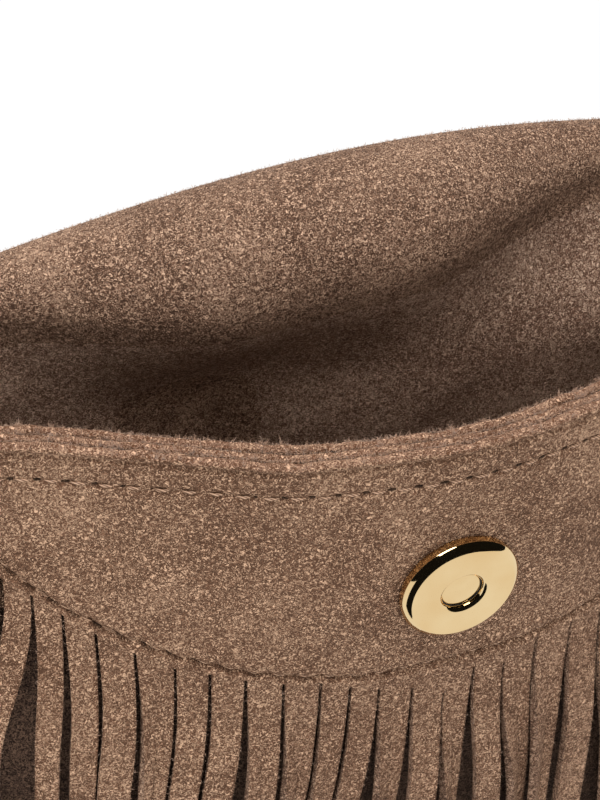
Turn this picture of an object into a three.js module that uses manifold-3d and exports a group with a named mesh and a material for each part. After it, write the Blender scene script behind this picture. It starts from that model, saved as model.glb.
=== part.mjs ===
// A small suede shoulder bag that stands open. Its flap is thrown back over the rear, so that the mouth and
// the socket of the magnetic snap show. The front wears a U-shaped yoke whose lower part is cut as a fringe.
// Millimetres, +Z up, the front faces -Y, and the origin is on the ground under the middle of the bag.
import * as THREE from "three";
import { mergeVertices } from "three/addons/utils/BufferGeometryUtils.js";
import Module from "manifold-3d";

const wasm = await Module();
wasm.setup();

// Suede: the thickness of one layer, and the room between layers that are sewn together.
const LEATHER = 1.2;
const PLY_GAP = 0.4;
const PLY_STEP = LEATHER + PLY_GAP;
const SEAM_GAP = 0.5;

// Body: front and back panels of one U-shaped outline, held apart by a gusset strip.
const RIM_HEIGHT = 176.5;
const CORNER_DROP = 15;
const MOUTH_HALF = 85;
const BODY_HALF = 92;
const CORNER_RADIUS = 45;
const GUSSET_BASE = 52;
const GUSSET_TOP = 20;
const GUSSET_FLARE = 120;
const LINING_INSET = PLY_STEP + PLY_GAP;

// Front: the open rim stands forward in a soft vee, and the belly falls back to the base.
const VEE_SLOPE = 0.466;
const VEE_ROUND = 13;
const BELLY_HEIGHT = 118;
const FACING_DEPTH = 50;

// Yoke and fringe: the U of the seam, the band left uncut below it, and the slits.
const OVERLAY_MARGIN = 12;
const OVERLAY_HALF = MOUTH_HALF - OVERLAY_MARGIN;
const OVERLAY_EDGE = 1.5;
const SEAM_MARGIN = 5;
const YOKE_HALF = OVERLAY_HALF - SEAM_MARGIN;
const YOKE_DEPTH = 42.5;
const YOKE_POWER = 2.4;
const UNCUT_BAND = 3;
const STRANDS = 30;
const SLIT = 0.7;
const FRINGE_END = 8;
const FRINGE_SWING = 1;

// Flap: the fold over the back, the part that hangs behind, and its rounded end.
const FOLD_DROP = 4.5;
const FOLD_EDGE_DROP = 13;
const FOLD_RADIUS = 6.5;
const FLAP_HANG = 86;
const FLAP_END_HALF = 80;
const FLAP_END_FLAT = 14;
const FLAP_ROUND = 56;
const BACK_BOW = 3;

// Magnetic snap: one 18 mm half on the yoke, its mate on the flap's lining.
const SNAP_RADIUS = 9;
const SNAP_DROP = 26.5;
const FLAP_SNAP_DROP = 55;
const CAP_HEIGHT = 2.4;
const CAP_SHEET = 0.45;
const CAP_FLAT = SNAP_RADIUS - 2.2;
const CAP_WALL = 1.1;
const HOLE_RADIUS = 2.9;
const LIP = 0.4;
const RIVET_RADIUS = HOLE_RADIUS - 0.45;
const RIVET_SINK = 0.9;
const STUD_PLATE = 1.2;
const STUD_EASE = 0.45;
const BASE_SHEET = 0.5;
const PRONG_OFFSET = 4.2;
const PRONG_WIDTH = 3.4;
const PRONG_SHEET = 0.5;
const PRONG_FOOT = 2.6;
const WASHER_SHEET = 0.6;
const WASHER_RADIUS = SNAP_RADIUS - 1;
const METAL_GAP = 0.2;
const MAGNET_PLAY = 0.45;
const SLIT_CLEARANCE = 0.25;
const SNAP_SEAT = SNAP_RADIUS + 3;
const SNAP_BLEND = SNAP_SEAT + 12;

// Strap rings: a folded tab on each side, and the D-ring that swings in its loop.
const TAB_WIDTH = 14;
const TAB_SEAT = 0.6;
const TAB_LENGTH = 39;
const TAB_DROP = 3.5;
const GUSSET_END = RIM_HEIGHT - Math.max(CORNER_DROP, FOLD_DROP + FOLD_EDGE_DROP);
const TAB_LOOP = GUSSET_END - TAB_DROP;
const TAB_FOOT = TAB_LOOP - TAB_LENGTH;
const RING_WIRE = 1.5;
const RING_PLAY = 0.3;
const RING_SIDE_PLAY = 1;
const RING_HALF = TAB_WIDTH / 2 + RING_WIRE + RING_SIDE_PLAY;
const RING_CORNER = 2.5;
const RING_REACH = 14;
const RING_REST_TILT = 14;

// How finely the curved sheets and the turned metal are divided.
const PANEL_COLUMNS = 22;
const PANEL_ROWS = 10;
const CORNER_ROWS = 6;
const FRINGE_ROWS = 6;
const YOKE_ROWS = 4;
const BACK_COLUMNS = 12;
const TURNED_SIDES = 20;
const DELTA = 1e-3;

const mix = (a, b, t) => a + (b - a) * t;

function smooth(t) {
  const k = Math.min(Math.max(t, 0), 1);
  return k * k * (3 - 2 * k);
}

function steps(from, to, count) {
  return Array.from({ length: count + 1 }, (_, i) => mix(from, to, i / count));
}

// Solids

function clean(geometry) {
  const plain = new THREE.BufferGeometry();
  plain.setAttribute("position", geometry.getAttribute("position"));
  plain.setIndex(geometry.index);
  return mergeVertices(plain, 1e-4);
}

function solidOf(geometry) {
  const merged = clean(geometry);
  return new wasm.Manifold(
    new wasm.Mesh({
      numProp: 3,
      vertProperties: merged.getAttribute("position").array,
      triVerts: new Uint32Array(merged.index.array),
    }),
  );
}

function geometryOf(solid) {
  const mesh = solid.getMesh();
  const geometry = new THREE.BufferGeometry();
  geometry.setAttribute("position", new THREE.BufferAttribute(mesh.vertProperties, 3));
  geometry.setIndex(new THREE.BufferAttribute(mesh.triVerts, 1));
  return geometry;
}

function joined(geometries) {
  return geometryOf(geometries.map(solidOf).reduce((a, b) => a.add(b)));
}

function cut(geometry, tools) {
  return geometryOf(tools.map(solidOf).reduce((a, b) => a.subtract(b), solidOf(geometry)));
}

// The unit normal of a surface at (u, v), on the side that the cross product of its two directions points to.
function normalAt(surface, u, v) {
  const along = surface(u + DELTA, v).sub(surface(u - DELTA, v));
  const up = surface(u, v + DELTA).sub(surface(u, v - DELTA));
  return along.cross(up).normalize();
}

// A sheet of leather as one closed solid: a grid over (us, vs), with one face at lift(point) along the normal
// and the other LEATHER behind it. kept(column, row) leaves cells out: the slits of the fringe are cut so.
function leatherSheet(surface, us, vs, lift, kept = () => true) {
  const positions = [];
  us.forEach((u) =>
    vs.forEach((v) => {
      const point = surface(u, v);
      const normal = normalAt(surface, u, v);
      const height = lift(point);
      positions.push(...point.clone().addScaledVector(normal, height).toArray());
      positions.push(...point.clone().addScaledVector(normal, height - LEATHER).toArray());
    }),
  );
  const front = (i, j) => 2 * (i * vs.length + j);
  const back = (i, j) => front(i, j) + 1;
  const has = (i, j) => i >= 0 && j >= 0 && i < us.length - 1 && j < vs.length - 1 && kept(i, j);
  const index = [];
  const quad = (a, b, c, d) => index.push(a, b, c, a, c, d);
  const wall = (i, j, k, l) => quad(front(i, j), back(i, j), back(k, l), front(k, l));
  for (let i = 0; i < us.length - 1; i += 1) {
    for (let j = 0; j < vs.length - 1; j += 1) {
      if (!has(i, j)) continue;
      quad(front(i, j), front(i + 1, j), front(i + 1, j + 1), front(i, j + 1));
      quad(back(i, j), back(i, j + 1), back(i + 1, j + 1), back(i + 1, j));
      if (!has(i, j - 1)) wall(i, j, i + 1, j);
      if (!has(i + 1, j)) wall(i + 1, j, i + 1, j + 1);
      if (!has(i, j + 1)) wall(i + 1, j + 1, i, j + 1);
      if (!has(i - 1, j)) wall(i, j + 1, i, j);
    }
  }
  const geometry = new THREE.BufferGeometry();
  geometry.setAttribute("position", new THREE.Float32BufferAttribute(positions, 3));
  geometry.setIndex(index);
  return geometry;
}

// Outline of the body

function halfWidth(z, inset = 0) {
  if (z < CORNER_RADIUS) {
    const r = CORNER_RADIUS - inset;
    const drop = CORNER_RADIUS - z;
    return BODY_HALF - CORNER_RADIUS + Math.sqrt(Math.max(r * r - drop * drop, 0));
  }
  const taper = smooth((z - CORNER_RADIUS) / (RIM_HEIGHT - CORNER_RADIUS));
  return BODY_HALF - inset - (BODY_HALF - MOUTH_HALF) * taper;
}

function gussetHalf(z) {
  return mix(GUSSET_TOP, GUSSET_BASE, smooth((RIM_HEIGHT - z) / GUSSET_FLARE)) / 2;
}

// The rim is level across the middle and falls to the corners of the mouth.
function rimFall(u, z) {
  const towardsRim = smooth((z - 0.6 * RIM_HEIGHT) / (0.4 * RIM_HEIGHT));
  return CORNER_DROP * smooth((Math.abs(u) - 0.7) / 0.3) * towardsRim;
}

// Heights of the rows of a panel, closer together around the bottom corners.
function panelRows(inset, top) {
  const radius = CORNER_RADIUS - inset;
  const corner = steps(0, Math.PI / 2, CORNER_ROWS).map((a) => CORNER_RADIUS - radius * Math.cos(a));
  return [...corner, ...steps(CORNER_RADIUS, top, PANEL_ROWS).slice(1)];
}

// Front surfaces

const VEE_SPAN = Math.hypot(VEE_SLOPE * MOUTH_HALF, VEE_ROUND) - VEE_ROUND;
const RIM_FRONT = -(GUSSET_TOP / 2 + VEE_SPAN);

function veeProfile(u) {
  return (Math.hypot(VEE_SLOPE * MOUTH_HALF * u, VEE_ROUND) - VEE_ROUND) / VEE_SPAN;
}

// How far the suede is pressed flat around a snap, from 1 under it to 0 well outside.
function snapSeat(point, height) {
  const away = Math.hypot(point.x, point.z - height);
  return 1 - smooth((away - SNAP_SEAT) / (SNAP_BLEND - SNAP_SEAT));
}

const SNAP_HEIGHT = RIM_HEIGHT - SNAP_DROP;
const SNAP_FLAT_Y = RIM_FRONT + (Math.hypot(VEE_SLOPE * SNAP_RADIUS, VEE_ROUND) - VEE_ROUND) / 2;

// Outer face of the front panel.
function frontPoint(u, row) {
  const z = row - rimFall(u, row);
  const edge = -gussetHalf(z);
  const middle = mix(-GUSSET_BASE / 2, RIM_FRONT, smooth(z / BELLY_HEIGHT));
  const open = smooth((z - 0.3 * RIM_HEIGHT) / (0.4 * RIM_HEIGHT));
  const y = middle + (edge - middle) * mix(u * u, veeProfile(u), open);
  const point = new THREE.Vector3(u * halfWidth(z), y, z);
  point.y = mix(point.y, SNAP_FLAT_Y, snapSeat(point, SNAP_HEIGHT));
  return point;
}

function frontPanel() {
  const us = steps(-1, 1, PANEL_COLUMNS);
  return leatherSheet(frontPoint, us, panelRows(0, RIM_HEIGHT), () => 0);
}

// Room behind the front panel, and inside the flap, for the washer and the bent prongs of a snap.
const WASHER_ROOM = METAL_GAP + WASHER_SHEET + METAL_GAP + PRONG_SHEET + PLY_GAP;

function washerBump(point, height) {
  const away = Math.hypot(point.x, point.z - height);
  return (WASHER_ROOM - PLY_GAP) * (1 - smooth((away - SNAP_SEAT) / (SNAP_BLEND - SNAP_RADIUS)));
}

// A band of suede inside the front, from the rim down past the yoke's seam.
function frontFacing() {
  const surface = (u, z) => {
    const share = (halfWidth(z) - LINING_INSET) / halfWidth(z);
    return frontPoint(u * share, z);
  };
  const us = steps(-1, 1, PANEL_COLUMNS);
  const vs = steps(RIM_HEIGHT - FACING_DEPTH, RIM_HEIGHT, 6);
  return leatherSheet(surface, us, vs, (p) => -PLY_STEP - washerBump(p, SNAP_HEIGHT));
}

// Height of the yoke's seam: a U that is flat in the middle and meets the rim at its two ends.
function seamHeight(x) {
  const t = Math.min(Math.abs(x) / YOKE_HALF, 1);
  return RIM_HEIGHT - YOKE_DEPTH * Math.sqrt(1 - t ** YOKE_POWER);
}

// Tops of the slits: the seam's curve moved out by the band that is left uncut.
function slitTop(x) {
  const t = Math.min(Math.abs(x) / OVERLAY_HALF, 1);
  return RIM_HEIGHT - (YOKE_DEPTH + UNCUT_BAND) * Math.sqrt(1 - t ** YOKE_POWER);
}

// Edges of the strands across the front. They are even along the seam, so they crowd where it climbs.
function strandEdges() {
  const limit = OVERLAY_HALF - OVERLAY_EDGE;
  const fine = steps(-limit, limit, 400);
  const run = [0];
  fine.slice(1).forEach((x, i) => {
    const rise = Math.min(Math.abs(seamHeight(x) - seamHeight(fine[i])), x - fine[i]);
    run.push(run[i] + Math.hypot(x - fine[i], rise));
  });
  return steps(0, run[run.length - 1], STRANDS).map((goal) => {
    const i = Math.min(run.findIndex((r) => r >= goal - 1e-9), fine.length - 1);
    return fine[i];
  });
}

// The front's outer face at x and z.
function frontAt(x, z) {
  return frontPoint(Math.min(Math.max(x / halfWidth(z), -1), 1), z).setX(x);
}

// A strand hangs straight from its slit, in front of whatever the panel does between there and z.
function hangingPoint(x, z) {
  const heights = steps(slitTop(x), z, 12);
  const y = Math.min(...heights.map((h) => frontAt(x, h).y));
  return new THREE.Vector3(x, y, frontAt(x, z).z);
}

// Yoke and fringe in one piece. v runs up from the fringe's end at 0, past the slits at 1, to the rim at 2.
function yokeWithFringe() {
  const surface = (x, v) => {
    const top = slitTop(x);
    return v < 1 ? hangingPoint(x, mix(FRINGE_END, top, v)) : frontAt(x, mix(top, RIM_HEIGHT, v - 1));
  };
  const edges = strandEdges();
  const us = edges.flatMap((x, k) => {
    const isOuter = k === 0 || k === edges.length - 1;
    return isOuter ? [x] : [x - SLIT / 2, x + SLIT / 2];
  });
  const vs = [...steps(0, 1, FRINGE_ROWS), ...steps(1, 2, YOKE_ROWS).slice(1)];
  const isStrand = (i) => i % 2 === 0;
  const swingTop = SNAP_HEIGHT - YOKE_DEPTH / 2;
  const lift = (p) => PLY_STEP + FRINGE_SWING * smooth((swingTop - p.z) / YOKE_DEPTH);
  return leatherSheet(surface, us, vs, lift, (i, j) => isStrand(i) || j >= FRINGE_ROWS);
}

// Back and flap surfaces

function foldHeight(x) {
  return RIM_HEIGHT - FOLD_DROP - FOLD_EDGE_DROP * (x / MOUTH_HALF) ** 2;
}

function backY(x, z) {
  const bow = Math.max(1 - (x / MOUTH_HALF) ** 2, 0) * smooth(z / RIM_HEIGHT);
  return gussetHalf(z) + BACK_BOW * bow;
}

// Outer face of the flap where it hangs behind the back.
function flapY(x) {
  return backY(x, foldHeight(x)) + 2 * FOLD_RADIUS;
}

function flapHalf(drop, inset) {
  const straight = FLAP_HANG - FLAP_ROUND;
  if (drop <= straight) return mix(MOUTH_HALF, FLAP_END_HALF, smooth(drop / straight)) - inset;
  const past = Math.min((drop - straight) / (FLAP_ROUND - inset), 1);
  return FLAP_END_FLAT + (FLAP_END_HALF - FLAP_END_FLAT - inset) * Math.sqrt(1 - past * past);
}

// Outer face of the back and flap. v runs up the back to 1, round the fold to 2, and down the flap to 3.
function backPoint(u, v, inset = 0) {
  const foldX = u * (MOUTH_HALF - inset);
  const fold = foldHeight(foldX);
  if (v <= 1) {
    const z = mix(inset, fold, v);
    const x = u * halfWidth(z, inset);
    return new THREE.Vector3(x, backY(x, z), z);
  }
  if (v <= 2) {
    const turn = (v - 1) * Math.PI;
    const y = flapY(foldX) - FOLD_RADIUS * (1 + Math.cos(turn));
    return new THREE.Vector3(foldX, y, fold + FOLD_RADIUS * Math.sin(turn));
  }
  const drop = (v - 2) * (FLAP_HANG - inset);
  const x = u * flapHalf(drop, inset);
  return new THREE.Vector3(x, flapY(x), fold - drop);
}

function backRows(inset) {
  const wall = panelRows(inset, RIM_HEIGHT).map((z) => (z - inset) / (RIM_HEIGHT - inset));
  const hang = FLAP_HANG - inset;
  const end = (FLAP_HANG - FLAP_ROUND) / hang;
  const straight = steps(0, end, 3).slice(1);
  const round = steps(0, 1, 6).slice(1).map((k) => mix(end, 1, Math.sin((k * Math.PI) / 2)));
  return [...wall, ...steps(1, 2, 6).slice(1), ...[...straight, ...round].map((t) => 2 + t)];
}

const FLAP_SNAP_HEIGHT = foldHeight(0) - FLAP_SNAP_DROP;
const FLAP_LINING_Y = flapY(0) + PLY_STEP + LEATHER;

function isOnFlap(point) {
  return point.y > flapY(point.x) - LEATHER ? 1 : 0;
}

// The back normal points away from the mouth, so the surface is run from right to left.
function backSheet(inset, lift) {
  const surface = (u, v) => backPoint(-u, v, inset);
  return leatherSheet(surface, steps(-1, 1, BACK_COLUMNS), backRows(inset), lift);
}

function backWithFlap() {
  return backSheet(0, (p) => isOnFlap(p) * washerBump(p, FLAP_SNAP_HEIGHT));
}

function lining() {
  return backSheet(LINING_INSET, () => -PLY_STEP);
}

// Gusset: one strip down a side, under the bag and up the other side.
function gusset() {
  const right = panelRows(0, GUSSET_END).map((z) => [halfWidth(z), z]).reverse();
  const left = right.map(([x, z]) => [-x, z]).reverse();
  const path = [...right, ...left];
  const surface = (s, across) => {
    const i = Math.min(Math.max(Math.floor(s), 0), path.length - 2);
    const [x, z] = [0, 1].map((k) => mix(path[i][k], path[i + 1][k], s - i));
    return new THREE.Vector3(x, across * (gussetHalf(z) - LEATHER - SEAM_GAP), z);
  };
  return leatherSheet(surface, path.map((_, i) => i), [-1, 0, 1], () => 0);
}

// Turned metal: a profile of radius and height about the snap's axis.
function turned(profile) {
  return new THREE.LatheGeometry(
    profile.map(([r, h]) => new THREE.Vector2(r, h)),
    TURNED_SIDES,
  );
}

function ring(inner, outer, low, high) {
  return turned([[inner, low], [outer, low], [outer, high], [inner, high], [inner, low]]);
}

function disc(radius, low, high) {
  return turned([[0, low], [radius, low], [radius, high], [0, high]]);
}

// A quarter of an ellipse, from (r + a, h) up to (r, h + b).
function shoulder(r, h, a, b, count) {
  return steps(0, Math.PI / 2, count).map((t) => [r + a * Math.cos(t), h + b * Math.sin(t)]);
}

function block(x, low, high, width, depth) {
  const box = new THREE.BoxGeometry(width, high - low, depth);
  return box.translate(x, (low + high) / 2, 0);
}

// Socket half, along +Y from the face of the suede at 0.
function capGeometry() {
  const outer = shoulder(CAP_FLAT, CAP_WALL, SNAP_RADIUS - CAP_FLAT, CAP_HEIGHT - CAP_WALL, 4);
  const lip = steps(0, Math.PI / 2, 3).map((t) => [
    HOLE_RADIUS + LIP * (1 - Math.sin(t)),
    CAP_HEIGHT - LIP * (1 - Math.cos(t)),
  ]);
  const innerHeight = CAP_HEIGHT - CAP_WALL - CAP_SHEET;
  const inner = shoulder(CAP_FLAT - CAP_SHEET, CAP_WALL, SNAP_RADIUS - CAP_FLAT, innerHeight, 3).reverse();
  const foot = [SNAP_RADIUS, METAL_GAP];
  return turned([
    foot, ...outer, ...lip, [HOLE_RADIUS, CAP_HEIGHT - CAP_SHEET], ...inner,
    [SNAP_RADIUS - CAP_SHEET, METAL_GAP], foot,
  ]);
}

// A steel disc with two flat prongs, which pass through the suede and the washer and are bent outwards.
function prongedBase(radius, through) {
  const low = METAL_GAP;
  const clinch = -(through + METAL_GAP + WASHER_SHEET + METAL_GAP);
  const prongs = [-1, 1].flatMap((side) => [
    block(side * PRONG_OFFSET, clinch - PRONG_SHEET, low + BASE_SHEET / 2, PRONG_SHEET, PRONG_WIDTH),
    block(
      side * (PRONG_OFFSET + PRONG_FOOT / 2 - PRONG_SHEET / 2),
      clinch - PRONG_SHEET, clinch, PRONG_FOOT, PRONG_WIDTH,
    ),
  ]);
  return joined([disc(radius, low, BASE_TOP), ...prongs]);
}

function prongSlits(low, high) {
  const width = PRONG_SHEET + 2 * SLIT_CLEARANCE;
  const length = PRONG_WIDTH + 2 * SLIT_CLEARANCE;
  return [-1, 1].map((side) => block(side * PRONG_OFFSET, low, high, width, length));
}

function washer(through) {
  const top = -(through + METAL_GAP);
  return cut(disc(WASHER_RADIUS, top - WASHER_SHEET, top), prongSlits(top - 1, top + 1));
}

const BASE_TOP = METAL_GAP + BASE_SHEET;
const STACK_FOOT = BASE_TOP + METAL_GAP;
const RIVET_TOP = CAP_HEIGHT - RIVET_SINK;
const MAGNET_INNER = RIVET_RADIUS + MAGNET_PLAY;
const MAGNET_OUTER = SNAP_RADIUS - CAP_SHEET - MAGNET_PLAY;
const MAGNET_TOP = CAP_HEIGHT - CAP_SHEET - MAGNET_PLAY;
const SOCKET_BASE_RADIUS = SNAP_RADIUS - CAP_SHEET - METAL_GAP;
const STUD_BASE_RADIUS = SNAP_RADIUS - BASE_SHEET;

// Stud half: a plate with eased edges and a low round stud that enters the socket's hole.
function studPlateGeometry() {
  const top = STACK_FOOT + STUD_PLATE;
  const edge = shoulder(SNAP_RADIUS - STUD_EASE, top - STUD_EASE, STUD_EASE, STUD_EASE, 3);
  const studTop = top + RIVET_SINK - METAL_GAP;
  const studEase = STUD_EASE / 2;
  const studEdge = shoulder(RIVET_RADIUS - studEase, studTop - studEase, studEase, studEase, 2);
  return turned([
    [0, STACK_FOOT], [SNAP_RADIUS, STACK_FOOT], ...edge, [RIVET_RADIUS, top], ...studEdge, [0, studTop],
  ]);
}

// Strap tab: a strip folded round the ring's bar and sewn to itself and to the gusset.
const LOOP_HOLE = RING_WIRE + RING_PLAY;
const LOOP_OUTER = LOOP_HOLE + LEATHER;
const LOOP_X = TAB_SEAT + LOOP_OUTER;

function tabGeometry() {
  const stem = TAB_SEAT + 2 * LEATHER;
  const meet = Math.acos((stem - LOOP_X) / LOOP_OUTER);
  const shape = new THREE.Shape();
  shape.moveTo(TAB_SEAT, -TAB_LENGTH);
  shape.lineTo(TAB_SEAT, 0);
  shape.absarc(LOOP_X, 0, LOOP_OUTER, Math.PI, -meet, true);
  shape.lineTo(stem, -TAB_LENGTH);
  shape.closePath();
  const hole = new THREE.Path();
  hole.absarc(LOOP_X, 0, LOOP_HOLE, 0, 2 * Math.PI, false);
  shape.holes.push(hole);
  const options = { depth: TAB_WIDTH, bevelEnabled: false, curveSegments: 10 };
  const tab = new THREE.ExtrudeGeometry(shape, options);
  return tab.translate(0, 0, -TAB_WIDTH / 2).rotateX(Math.PI / 2);
}

// Centre line of the D-ring in (across, down): the bar, two corners, two short sides and a half-round bow.
function ringLine() {
  const drop = RING_REACH - RING_HALF;
  const bar = RING_HALF - RING_CORNER;
  const arc = (cx, cy, r, from, to, count) =>
    steps(from, to, count).map((a) => [cx + r * Math.cos(a), cy + r * Math.sin(a)]);
  const half = Math.PI / 2;
  return [
    ...arc(bar, RING_CORNER, RING_CORNER, -half, 0, 3),
    ...arc(0, drop, RING_HALF, 0, Math.PI, 12),
    ...arc(-bar, RING_CORNER, RING_CORNER, Math.PI, 3 * half, 3),
    [0, 0],
  ];
}

function ringGeometry() {
  const line = ringLine();
  const sides = 8;
  const positions = [];
  line.forEach(([across, down], i) => {
    const before = line[(i + line.length - 1) % line.length];
    const after = line[(i + 1) % line.length];
    const tangent = new THREE.Vector2(after[0] - before[0], after[1] - before[1]).normalize();
    for (let k = 0; k < sides; k += 1) {
      const a = (2 * Math.PI * (k + 0.5)) / sides;
      const inPlane = RING_WIRE * Math.cos(a);
      positions.push(
        RING_WIRE * Math.sin(a), across - tangent.y * inPlane, -(down + tangent.x * inPlane),
      );
    }
  });
  const index = [];
  line.forEach((_, i) => {
    const next = ((i + 1) % line.length) * sides;
    for (let k = 0; k < sides; k += 1) {
      const a = i * sides + k;
      const b = i * sides + ((k + 1) % sides);
      const c = next + ((k + 1) % sides);
      const d = next + k;
      index.push(a, c, b, a, d, c);
    }
  });
  const geometry = new THREE.BufferGeometry();
  geometry.setAttribute("position", new THREE.Float32BufferAttribute(positions, 3));
  geometry.setIndex(index);
  return geometry.rotateY(-THREE.MathUtils.degToRad(RING_REST_TILT));
}

// Materials
const suede = new THREE.MeshStandardMaterial({ color: 0x84634f, roughness: 0.95, metalness: 0 });
const lightSuede = new THREE.MeshStandardMaterial({ color: 0x8c6a55, roughness: 0.95, metalness: 0 });
const gold = new THREE.MeshStandardMaterial({ color: 0xe3c188, roughness: 0.12, metalness: 1 });
const steel = new THREE.MeshStandardMaterial({ color: 0xb9bbbd, roughness: 0.35, metalness: 1 });
const ferrite = new THREE.MeshStandardMaterial({ color: 0x2b2b2d, roughness: 0.7, metalness: 0.2 });

function piece(name, geometry, material) {
  const mesh = new THREE.Mesh(clean(geometry), material);
  mesh.name = name;
  return mesh;
}

const bag = new THREE.Group();

// The snap's axis is local +Y, so the socket half, which faces the front, is turned over.
const socket = new THREE.Group();
socket.position.set(0, SNAP_FLAT_Y - PLY_STEP, SNAP_HEIGHT);
socket.rotation.x = Math.PI;
const stud = new THREE.Group();
stud.position.set(0, FLAP_LINING_Y, FLAP_SNAP_HEIGHT);

const SOCKET_THROUGH = PLY_STEP + LEATHER;
const worldSlits = (group, through) =>
  prongSlits(-(through + 1), 1).map((box) => {
    group.updateMatrixWorld(true);
    return box.applyMatrix4(group.matrixWorld);
  });

bag.add(
  piece("yoke_with_fringe", cut(yokeWithFringe(), worldSlits(socket, SOCKET_THROUGH)), lightSuede),
  piece("front_panel", cut(frontPanel(), worldSlits(socket, SOCKET_THROUGH)), suede),
  piece("front_facing", frontFacing(), suede),
  piece("back_panel_with_flap", backWithFlap(), suede),
  piece("back_and_flap_lining", cut(lining(), worldSlits(stud, LEATHER)), lightSuede),
  piece("gusset_strip", gusset(), suede),
);

socket.add(
  piece("snap_socket_cap", capGeometry(), gold),
  piece("snap_socket_magnet", ring(MAGNET_INNER, MAGNET_OUTER, STACK_FOOT, MAGNET_TOP), ferrite),
  piece("snap_socket_rivet", disc(RIVET_RADIUS, STACK_FOOT, RIVET_TOP), gold),
  piece("snap_socket_base", prongedBase(SOCKET_BASE_RADIUS, SOCKET_THROUGH), steel),
  piece("snap_socket_washer", washer(SOCKET_THROUGH), steel),
);
stud.add(
  piece("snap_stud_plate", studPlateGeometry(), gold),
  piece("snap_stud_base", prongedBase(STUD_BASE_RADIUS, LEATHER), steel),
  piece("snap_stud_washer", washer(LEATHER), steel),
);
bag.add(socket, stud);

// Each tab lies along the gusset, which leans a little here.
const tabMiddle = (TAB_FOOT + TAB_LOOP) / 2;
const tabLean = Math.atan2(halfWidth(TAB_FOOT) - halfWidth(TAB_LOOP), TAB_LENGTH);
[["left", Math.PI], ["right", 0]].forEach(([side, turn]) => {
  const whole = new THREE.Group();
  whole.rotation.z = turn;
  const seat = new THREE.Group();
  const middleX = (halfWidth(TAB_FOOT) + halfWidth(TAB_LOOP)) / 2;
  seat.position.set(middleX, 0, tabMiddle);
  seat.rotation.y = -tabLean;
  const tab = piece(`strap_tab_${side}`, tabGeometry(), suede);
  tab.position.z = TAB_LENGTH / 2;
  const dRing = piece(`strap_ring_${side}`, ringGeometry(), gold);
  dRing.position.set(LOOP_X, 0, TAB_LENGTH / 2);
  seat.add(tab, dRing);
  whole.add(seat);
  bag.add(whole);
});

export default bag;
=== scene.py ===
import math

import bpy
import numpy as np
from mathutils import Matrix, Vector


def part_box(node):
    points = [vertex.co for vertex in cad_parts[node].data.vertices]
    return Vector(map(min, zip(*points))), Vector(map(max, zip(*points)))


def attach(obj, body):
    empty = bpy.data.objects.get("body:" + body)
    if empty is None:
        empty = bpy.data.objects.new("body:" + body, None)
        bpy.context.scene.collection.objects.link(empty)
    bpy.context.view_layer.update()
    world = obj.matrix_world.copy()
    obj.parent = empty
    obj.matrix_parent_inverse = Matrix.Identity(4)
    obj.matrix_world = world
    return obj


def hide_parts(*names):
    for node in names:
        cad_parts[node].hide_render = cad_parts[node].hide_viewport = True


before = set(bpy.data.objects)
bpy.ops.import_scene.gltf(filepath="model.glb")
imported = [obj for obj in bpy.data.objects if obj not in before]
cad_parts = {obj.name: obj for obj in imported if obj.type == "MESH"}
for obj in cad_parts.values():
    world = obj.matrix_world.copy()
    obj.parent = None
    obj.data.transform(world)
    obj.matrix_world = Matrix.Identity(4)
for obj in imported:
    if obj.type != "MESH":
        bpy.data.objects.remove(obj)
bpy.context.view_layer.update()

MM = 0.001
SUEDE = 1.3
CLOSED_GAP = 0.2
PLY_STEP = 1.6
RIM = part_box("front_panel")[1][2] / MM
BODY_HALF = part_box("front_panel")[1][0] / MM
MOUTH_HALF = 85.0
CORNER_RADIUS = 45.0
CORNER_DROP = 15.0
GUSSET_TOP = 20.0
GUSSET_BASE = 52.0
GUSSET_FLARE = 120.0
VEE_SLOPE = 0.466
VEE_ROUND = 13.0
BELLY = 118.0
SNAP_RADIUS = 9.0
SNAP_DROP = 26.5
SNAP_Z = RIM - SNAP_DROP
SNAP_BED = SNAP_RADIUS + 1.5
SNAP_BLEND = 24.0
VEE_SPAN = math.hypot(VEE_SLOPE * MOUTH_HALF, VEE_ROUND) - VEE_ROUND
RIM_FRONT = -(GUSSET_TOP / 2 + VEE_SPAN)
SNAP_Y = RIM_FRONT + (math.hypot(VEE_SLOPE * SNAP_RADIUS, VEE_ROUND) - VEE_ROUND) / 2


def mix(a, b, t):
    return a + (b - a) * t


def smooth(t):
    t = np.clip(t, 0, 1)
    return t * t * (3 - 2 * t)


def bump(distance, width):
    return np.exp(-0.5 * (distance / width) ** 2)


def ripple(a, b, seed, wave, height):
    """A soft, seeded unevenness over two coordinates in mm: hide is never quite flat."""
    draw = np.random.default_rng(seed)
    total = np.zeros(np.broadcast(a, b).shape)
    for _ in range(7):
        angle, phase = draw.uniform(0, 2 * math.pi, 2)
        pace = 2 * math.pi / (wave * draw.uniform(0.6, 1.6))
        total = total + np.sin(pace * (a * math.cos(angle) + b * math.sin(angle)) + phase)
    return height * total / math.sqrt(7)


def half_width(z, inset=0.0):
    drop = CORNER_RADIUS - z
    radius = CORNER_RADIUS - inset
    corner = BODY_HALF - CORNER_RADIUS + np.sqrt(np.clip(radius**2 - drop**2, 0, None))
    taper = smooth((z - CORNER_RADIUS) / (RIM - CORNER_RADIUS))
    return np.where(z < CORNER_RADIUS, corner, BODY_HALF - inset - (BODY_HALF - MOUTH_HALF) * taper)


def gusset_half(z):
    return mix(GUSSET_TOP, GUSSET_BASE, smooth((RIM - z) / GUSSET_FLARE)) / 2


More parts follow.
